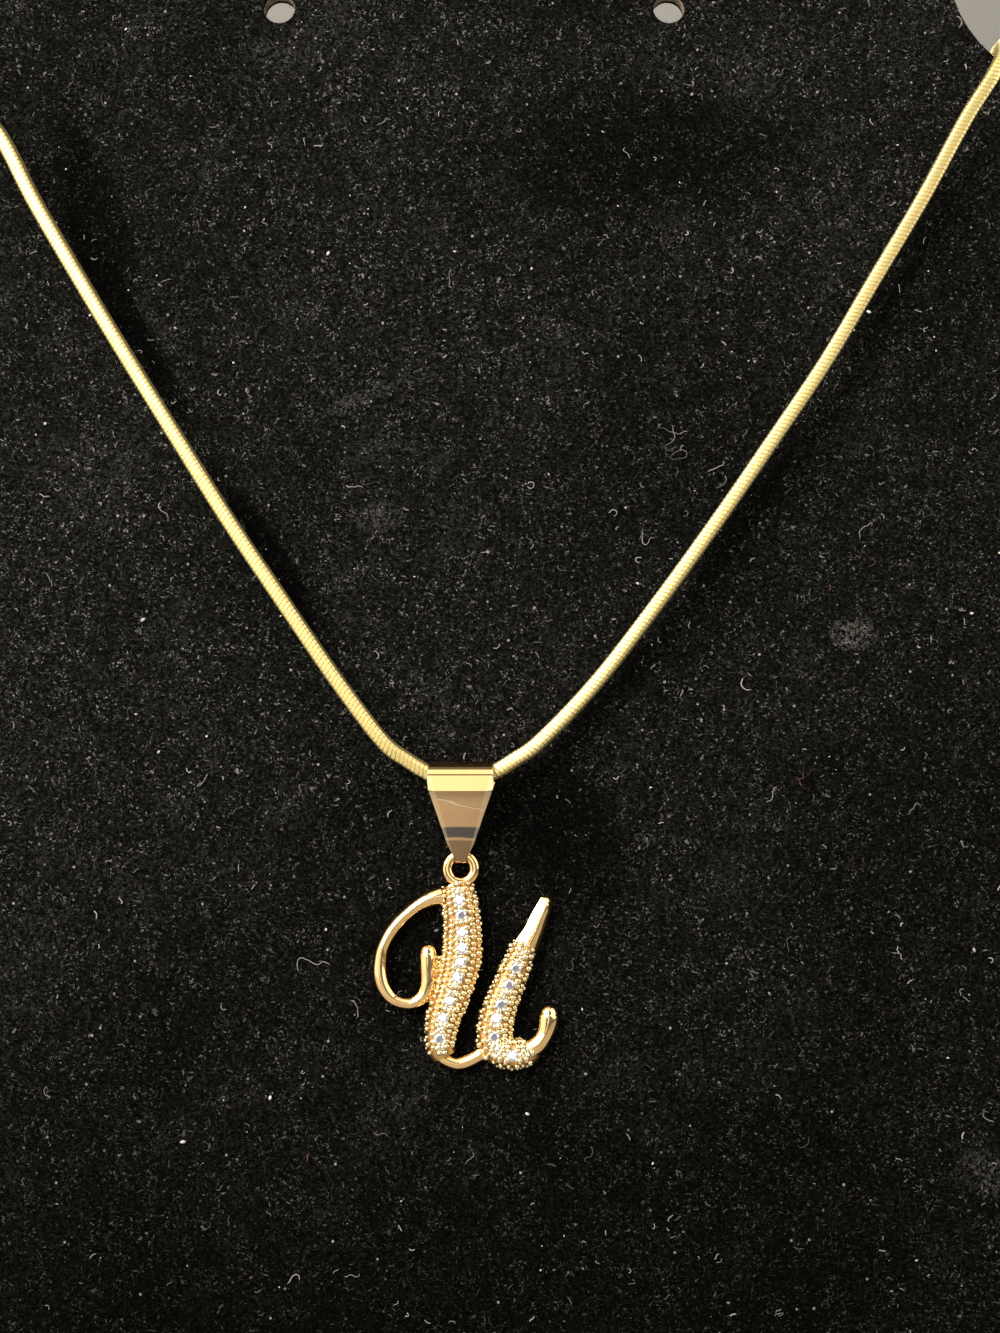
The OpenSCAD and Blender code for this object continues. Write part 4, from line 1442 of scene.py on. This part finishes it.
@dataclass
class Letter:
    """The cast letter: polished strokes, beaded stems, the soldered ring and the set stones."""

    stem_w: float = 4.0
    stem_t: float = 1.9
    swash_w: float = 1.2
    swash_t: float = 1.3
    bar_w: float = 1.45
    bar_t: float = 1.4
    tip_w: float = 2.35
    tip_t: float = 1.55
    flank_t: float = 0.95
    ring_r: float = 1.43
    wire_r: float = 0.43
    ring_thick: float = 0.52
    ring_mean: float = 1.36
    bead_r: float = 0.25
    bead_pitch: float = 0.58
    bead_rows: int = 5
    row_gap: float = 0.54
    rim_in: float = 0.16
    row_in: float = 0.30
    rim_sizes: tuple[float, float] = (0.85, 1.15)
    grain_sizes: tuple[float, float] = (0.84, 1.14)
    grain_widths: tuple[float, float] = (1.25, 1.6)
    grain_drift: tuple[float, float] = (0.07, 0.06)
    grain_high: float = 0.85
    grain_lift: float = 0.25
    middle_across: float = 0.24
    middle_gap: float = 0.46
    flank_rows: tuple[float, float] = (0.3, 3.8)
    flank_beads: int = 11
    flank_across: tuple[float, float] = (-0.12, 0.38)
    stone_d: float = 1.16
    stone_proud: float = 0.02
    stone_tilt: float = 0.05
    seed: int = 7
    stone_seed: int = 5
    polish: GoldFinish = GoldFinish(
        "letter_polish", rgb(1.0, 0.70, 0.33), rgb(0.93, 0.57, 0.25), 0.11, 0.07, 1.8, 0.002, 0.5, 0.03
    )
    beading: GoldFinish = GoldFinish(
        "bead_gold", rgb(1.0, 0.87, 0.55), rgb(0.98, 0.72, 0.35), 0.20, 0.10, 4.0, 0.006, 0.5, 0.0
    )
    # A paler copy of the bead gold for the grains that hold the stones: a painted highlight
    holding: GoldFinish = GoldFinish(
        "grain_gold_painted_highlight", rgb(1.0, 0.93, 0.72), rgb(1.0, 0.84, 0.50), 0.17, 0.10, 4.0, 0.006, 0.6, 0.0
    )
    # The stems' bodies show only in the gaps between the grains; their darker gold is painted shade there
    stem_gold_painted_shade: GoldFinish = GoldFinish(
        "stem_gold_painted_shade", rgb(0.72, 0.44, 0.17), rgb(0.40, 0.22, 0.08), 0.34, 0.15, 4.0, 0.01, 0.5, 0.02
    )
    stone: StoneFinish = StoneFinish()

    def __post_init__(self) -> None:
        """Works out the strokes and the stones' places."""
        left, right, foot = (
            Stroke(rows, self.stem_w, self.stem_t, whole(DOMED), body=0.93)
            for rows in (LEFT_STEM, RIGHT_STEM, FOOT)
        )
        self.flank = Stroke(FLANK, self.swash_w, self.flank_t, round_section())
        # Each beaded stem, the rows between which its grains stand, and those of its stones
        self.stems = (
            (left, 0.1, 12.75, LEFT_STONES), (right, 0.1, 8.6, RIGHT_STONES), (foot, 1.2, 5.7, FOOT_STONES),
        )
        self.polished = [
            Stroke(SWASH, self.swash_w, self.swash_t, whole(KEELED), round_end=True, body=1.18),
            Stroke(BAR, self.bar_w, self.bar_t, whole(KEELED)),
            Stroke(HOOK, self.bar_w, self.bar_t, whole(KEELED), round_end=True, body=1.22),
            Stroke(TIP, self.tip_w, self.tip_t, RIDGED, round_end=True, body=1.12),
        ]
        self.seats = []
        for stroke, _, _, rows in self.stems:
            for t in rows:
                centre, _, high = stroke.at(t)
                self.seats.append((centre + FORWARD * (high + self.stone_proud), stroke.way(t)))

    def strokes_mesh(self) -> bpy.types.Mesh:
        """The polished strokes and the soldered ring."""
        blank = Blank("polished_strokes")
        for stroke in self.polished:
            stroke.cast(blank)
        middle = RING_AXIS - Vector((0, 0, self.ring_r))
        oval = Matrix.Diagonal((self.ring_thick / self.wire_r, 1, 1, 1))
        made = bmesh.ops.create_circle(
            blank.bm, segments=20, radius=self.wire_r,
            matrix=Matrix.Translation(middle + Vector((0, 0, self.ring_mean)))
            @ Matrix.Rotation(math.pi / 2, 4, "Y") @ oval,
        )["verts"]
        bmesh.ops.spin(
            blank.bm, geom=made + Blank.rim(made), cent=middle, axis=(0, 1, 0), angle=math.tau, steps=56,
            use_merge=True,
        )
        return blank.mesh(32.0)

    def stems_mesh(self) -> bpy.types.Mesh:
        """The bodies of the beaded stems, in a darker gold that paints the shade between their grains."""
        blank = Blank("stem_bodies")
        for stroke in (*(stem[0] for stem in self.stems), self.flank):
            stroke.cast(blank)
        return blank.mesh(40.0)

    def clear_of_stones(self, spot: Vector, reach: float) -> bool:
        """Whether a bead's spot is clear of every stone."""
        return all((spot - seat).xz.length > reach for seat, _ in self.seats)

    def grain(
        self, spot: Vector, out: Vector, way: Vector, size: float, chance: random.Random
    ) -> Matrix:
        """The place of one cast grain, wider across the stem than along it.

        Args:
            spot: Where it stands on the stem.
            out: The way out of the stem there.
            way: The direction in which the stem runs.
            size: Its radius along the stem.
            chance: The random source that makes each a little different.

        Returns:
            Its place.
        """
        size *= chance.uniform(*self.grain_sizes)
        side = way.cross(out).normalized()
        along, across = self.grain_drift
        nudge = way * chance.uniform(-along, along) + side * chance.uniform(-across, across)
        wide = size * chance.uniform(*self.grain_widths)
        turn = turn_onto(side, out.cross(side), out)
        shape = Matrix.Diagonal((wide, size, size * self.grain_high, 1))
        return Matrix.Translation(spot + nudge + out * size * self.grain_lift) @ turn @ shape

    def beads_on(self, stroke: Stroke, start: float, end: float, chance: random.Random) -> list[Matrix]:
        """Rows of grains along a stem, from its edges in to its stones.

        Args:
            stroke: The stem.
            start: The row where the grains start.
            end: The row where they end.
            chance: The random source.

        Returns:
            A place for each grain.
        """
        staggered = [stroke.evenly(start, end, self.bead_pitch, shift) for shift in (0.5, 0.0)]
        found = []
        for side in (-1, 1):
            # Row -1 runs round the stem's side, the others over its front
            for k in range(-1, self.bead_rows):
                for j, t in enumerate(staggered[k % 2]):
                    _, half, high = stroke.at(t)
                    across = half - (self.rim_in if k < 0 else self.row_in + k * self.row_gap)
                    if across < 0.18:
                        continue
                    spot, out = stroke.surface(t, side * across)
                    size = self.bead_r
                    if k < 1:
                        size *= self.rim_sizes[j % 2]
                    if k < 0:
                        spot = spot - FORWARD * (high * 0.30)
                    elif not self.clear_of_stones(spot, self.stone_d / 2 + 0.10):
                        continue
                    found.append(self.grain(spot, out, stroke.way(t), size, chance))
        return found

    def prongs(self, chance: random.Random) -> list[Matrix]:
        """Grains pushed over the edge of each stone, the largest above and below it."""
        found = []
        for seat, way in self.seats:
            for angle, size, away in PRONGS:
                c, s = math.cos(math.radians(angle)), math.sin(math.radians(angle))
                reach = (way * c + aside(way) * s) * (self.stone_d / 2 + away)
                spot = seat + reach - FORWARD * 0.04
                if all((spot - m.translation).length > 0.34 for m in found):
                    found.append(self.grain(spot, FORWARD, way, self.bead_r * size, chance))
        return found

    def middle_beads(
        self, stroke: Stroke, start: float, end: float, chance: random.Random
    ) -> list[Matrix]:
        """Grains down the middle of a stem, wherever no stone lies."""
        found = []
        for t in stroke.evenly(start, end, 0.1):
            for across in (-self.middle_across, self.middle_across):
                spot, out = stroke.surface(t, across)
                near = any((spot - m.translation).length < self.middle_gap for m in found)
                if near or not self.clear_of_stones(spot, self.stone_d / 2 + 0.34):
                    continue
                found.append(self.grain(spot, out, stroke.way(t), self.bead_r, chance))
        return found

    def beads_meshes(self) -> tuple[bpy.types.Mesh, bpy.types.Mesh]:
        """The grains of the stems, and those that hold the stones, in a paler gold that paints on their
        highlight.
        """
        chance = random.Random(self.seed)
        places, holding = [], []
        for stroke, start, end, _ in self.stems:
            places += self.beads_on(stroke, start, end, chance)
            holding += self.middle_beads(stroke, start, end, chance)
        holding += self.prongs(chance)
        for t in np.linspace(*self.flank_rows, self.flank_beads):
            centre, _, high = self.flank.at(t)
            way = self.flank.way(t)
            for across in self.flank_across:
                spot = centre + Vector((across, 0.06 - high + abs(across) * 0.3, 0.05))
                places.append(self.grain(spot, FORWARD, way, self.bead_r * 0.85, chance))
        blank = Blank("bead")
        bmesh.ops.create_uvsphere(blank.bm, u_segments=10, v_segments=5, radius=1.0)
        bead = blank.mesh()
        return array_of("beads", bead, places, 80.0), array_of("stone_grains", bead, holding, 80.0)

    def stone_mesh(self) -> bpy.types.Mesh:
        """A brilliant cut stone, its girdle's top at the origin, its table along Z."""
        blank = Blank("cut_stone")
        girdle = self.stone_d / 2
        for count, share, start, height in CUT:
            for k in range(count):
                a, r = math.radians(start + 360 * k / count), girdle * share
                blank.bm.verts.new((r * math.cos(a), r * math.sin(a), height * self.stone_d))
        bmesh.ops.convex_hull(blank.bm, input=blank.bm.verts)
        bmesh.ops.dissolve_limit(
            blank.bm, angle_limit=math.radians(1.0), verts=blank.bm.verts, edges=blank.bm.edges
        )
        return blank.mesh(None)

    def build(self) -> None:
        """Builds and places the letter and its stones."""
        clear = self.stone.material()
        place(self.strokes_mesh(), self.polish.material(), Body.PENDANT, Slot.CAST, ["letter"])
        # The stems' bodies get the darker gold of the painted shade between the grains
        place(self.stems_mesh(), self.stem_gold_painted_shade.material(), Body.PENDANT, Slot.CAST)
        beads, grains = self.beads_meshes()
        place(beads, self.beading.material(), Body.PENDANT, Slot.CAST)
        # The grains that hold the stones get the paler gold of the painted highlight
        place(grains, self.holding.material(), Body.PENDANT, Slot.CAST)
        chance = random.Random(self.stone_seed)
        upright = Matrix.Rotation(math.pi / 2, 4, "X")
        for number, (seat, _) in enumerate(self.seats, 1):
            stone = self.stone_mesh()
            stone.name = f"brilliant_{number}"
            tilt = Matrix.Rotation(chance.uniform(-self.stone_tilt, self.stone_tilt), 4, "X")
            tilt = tilt @ Matrix.Rotation(chance.uniform(-self.stone_tilt, self.stone_tilt), 4, "Y")
            spin = Matrix.Rotation(chance.random() * math.tau, 4, "Z")
            stone.transform(Matrix.Translation(seat) @ upright @ tilt @ spin)
            place(stone, clear, Body.PENDANT, Slot.STONE, [f"stone_{number}"])


# ---- the studio ----


@dataclass
class Studio:
    """The pale floor, the soft lights and the camera."""

    aim: Vector = field(default_factory=lambda: Vector((2.7, -13.5, 99.7)))
    pendant: Vector = field(default_factory=lambda: Vector((0, -17, 85)))
    distance: float = 192.0
    elevation: float = 7.0
    frame_px: float = 1333.0
    focal_px: float = 1920.0
    sensor_h: float = 24.0
    floor_half: float = 1400.0
    floor_span: tuple[float, float] = (-1500.0, 420.0)
    sweep_r: float = 260.0
    wall_top: float = 1600.0
    wall: Vector = field(default_factory=lambda: Vector((100, 680, 300)))
    world_colour: tuple = rgb(1.0, 0.96, 0.90)
    world_strength: float = 0.19
    # Soft boxes round the pendant: name, turn to the right and height in degrees, distance, width,
    # height, radiance and colour
    boxes: tuple = (
        ("key", -48, 38, 520, 360, 360, 7.6, (1.0, 0.95, 0.85)),
        ("glint", -34, 36, 520, 40, 40, 220.0, (1.0, 0.96, 0.88)),
        ("front", 0, 18, 620, 340, 300, 1.25, (1.0, 0.97, 0.90)),
        ("top", 0, 71, 430, 440, 240, 1.30, (1.0, 0.97, 0.90)),
        ("side", -62, 10, 520, 400, 420, 1.25, (1.0, 0.95, 0.86)),
        ("fill", 80, 26, 500, 460, 460, 2.1, (1.0, 0.93, 0.84)),
    )
    # The one that lights the backdrop's wall, in the same columns
    wall_box: tuple = ("backdrop", -25, 40, 450, 400, 200, 5.0, (1.0, 0.97, 0.92))

    def floor(self) -> None:
        """A floor that rises into a backdrop behind."""
        blank = Blank("pale_floor")
        (front, back), r = self.floor_span, self.sweep_r
        rows = [(front, 0.0), (back, 0.0)]
        rows += [(back + r * math.sin(a), r * (1 - math.cos(a))) for a in np.linspace(0.1, math.pi / 2, 12)]
        rows.append((back + r, self.wall_top))
        verts = [blank.bm.verts.new((-self.floor_half, y, z)) for y, z in rows]
        edges = [blank.bm.edges.new(pair) for pair in zip(verts, verts[1:])]
        geom = bmesh.ops.extrude_edge_only(blank.bm, edges=edges)["geom"]
        moved = [g for g in geom if isinstance(g, bmesh.types.BMVert)]
        bmesh.ops.translate(blank.bm, verts=moved, vec=(2 * self.floor_half, 0, 0))
        mesh = blank.mesh()
        mesh.transform(Matrix.Scale(MM, 4))
        mesh.materials.append(Backdrop().material())
        into_scene("pale_floor", mesh)

    @staticmethod
    def light(row: tuple, centre: Vector) -> None:
        """Adds a soft box.

        Args:
            row: Its row of the table.
            centre: What it faces.
        """
        name, azimuth, elevation, distance, width, height, radiance, colour = row
        data = bpy.data.lights.new(name, "AREA")
        data.shape = "RECTANGLE"
        data.size, data.size_y = width * MM, height * MM
        data.energy = radiance * math.pi * data.size * data.size_y
        data.color = colour
        lamp = into_scene(name, data)
        a, e = math.radians(azimuth), math.radians(elevation)
        way = Vector((math.sin(a) * math.cos(e), -math.cos(a) * math.cos(e), math.sin(e)))
        turn = way.to_track_quat("Z", "Y").to_matrix().to_4x4()
        lamp.visible_camera = False
        lamp.matrix_world = Matrix.Translation((centre + distance * way) * MM) @ turn

    def camera(self) -> None:
        """The camera at the photo's angle, with the photo's frame."""
        tilt = math.radians(self.elevation)
        spot = self.aim + self.distance * Vector((0, -math.cos(tilt), math.sin(tilt)))
        data = bpy.data.cameras.new("camera")
        data.sensor_fit = "VERTICAL"
        data.sensor_height = self.sensor_h
        data.lens = self.sensor_h * self.focal_px / self.frame_px
        data.clip_start, data.clip_end = 0.01, 20.0
        eye = into_scene("camera", data)
        turn = (self.aim - spot).to_track_quat("-Z", "Y").to_matrix().to_4x4()
        eye.matrix_world = Matrix.Translation(spot * MM) @ turn
        bpy.context.scene.camera = eye

    def build(self) -> None:
        """Sets the stage."""
        self.floor()
        self.camera()
        for row in self.boxes:
            self.light(row, self.pendant)
        self.light(self.wall_box, self.wall)
        world = bpy.data.worlds.new("studio")
        world.use_nodes = True
        inputs = world.node_tree.nodes["Background"].inputs
        inputs["Color"].default_value = self.world_colour
        inputs["Strength"].default_value = self.world_strength
        bpy.context.scene.world = world
        bpy.context.scene.view_settings.view_transform = "Standard"


def main() -> None:
    """Builds the object and its studio."""
    logging.basicConfig(level=logging.INFO, format="%(message)s")
    Studio().build()
    DisplayBoard().build()
    SnakeChain().build()
    Bail().build()
    Letter().build()
    bpy.context.view_layer.update()


if __name__ == "__main__":
    main()
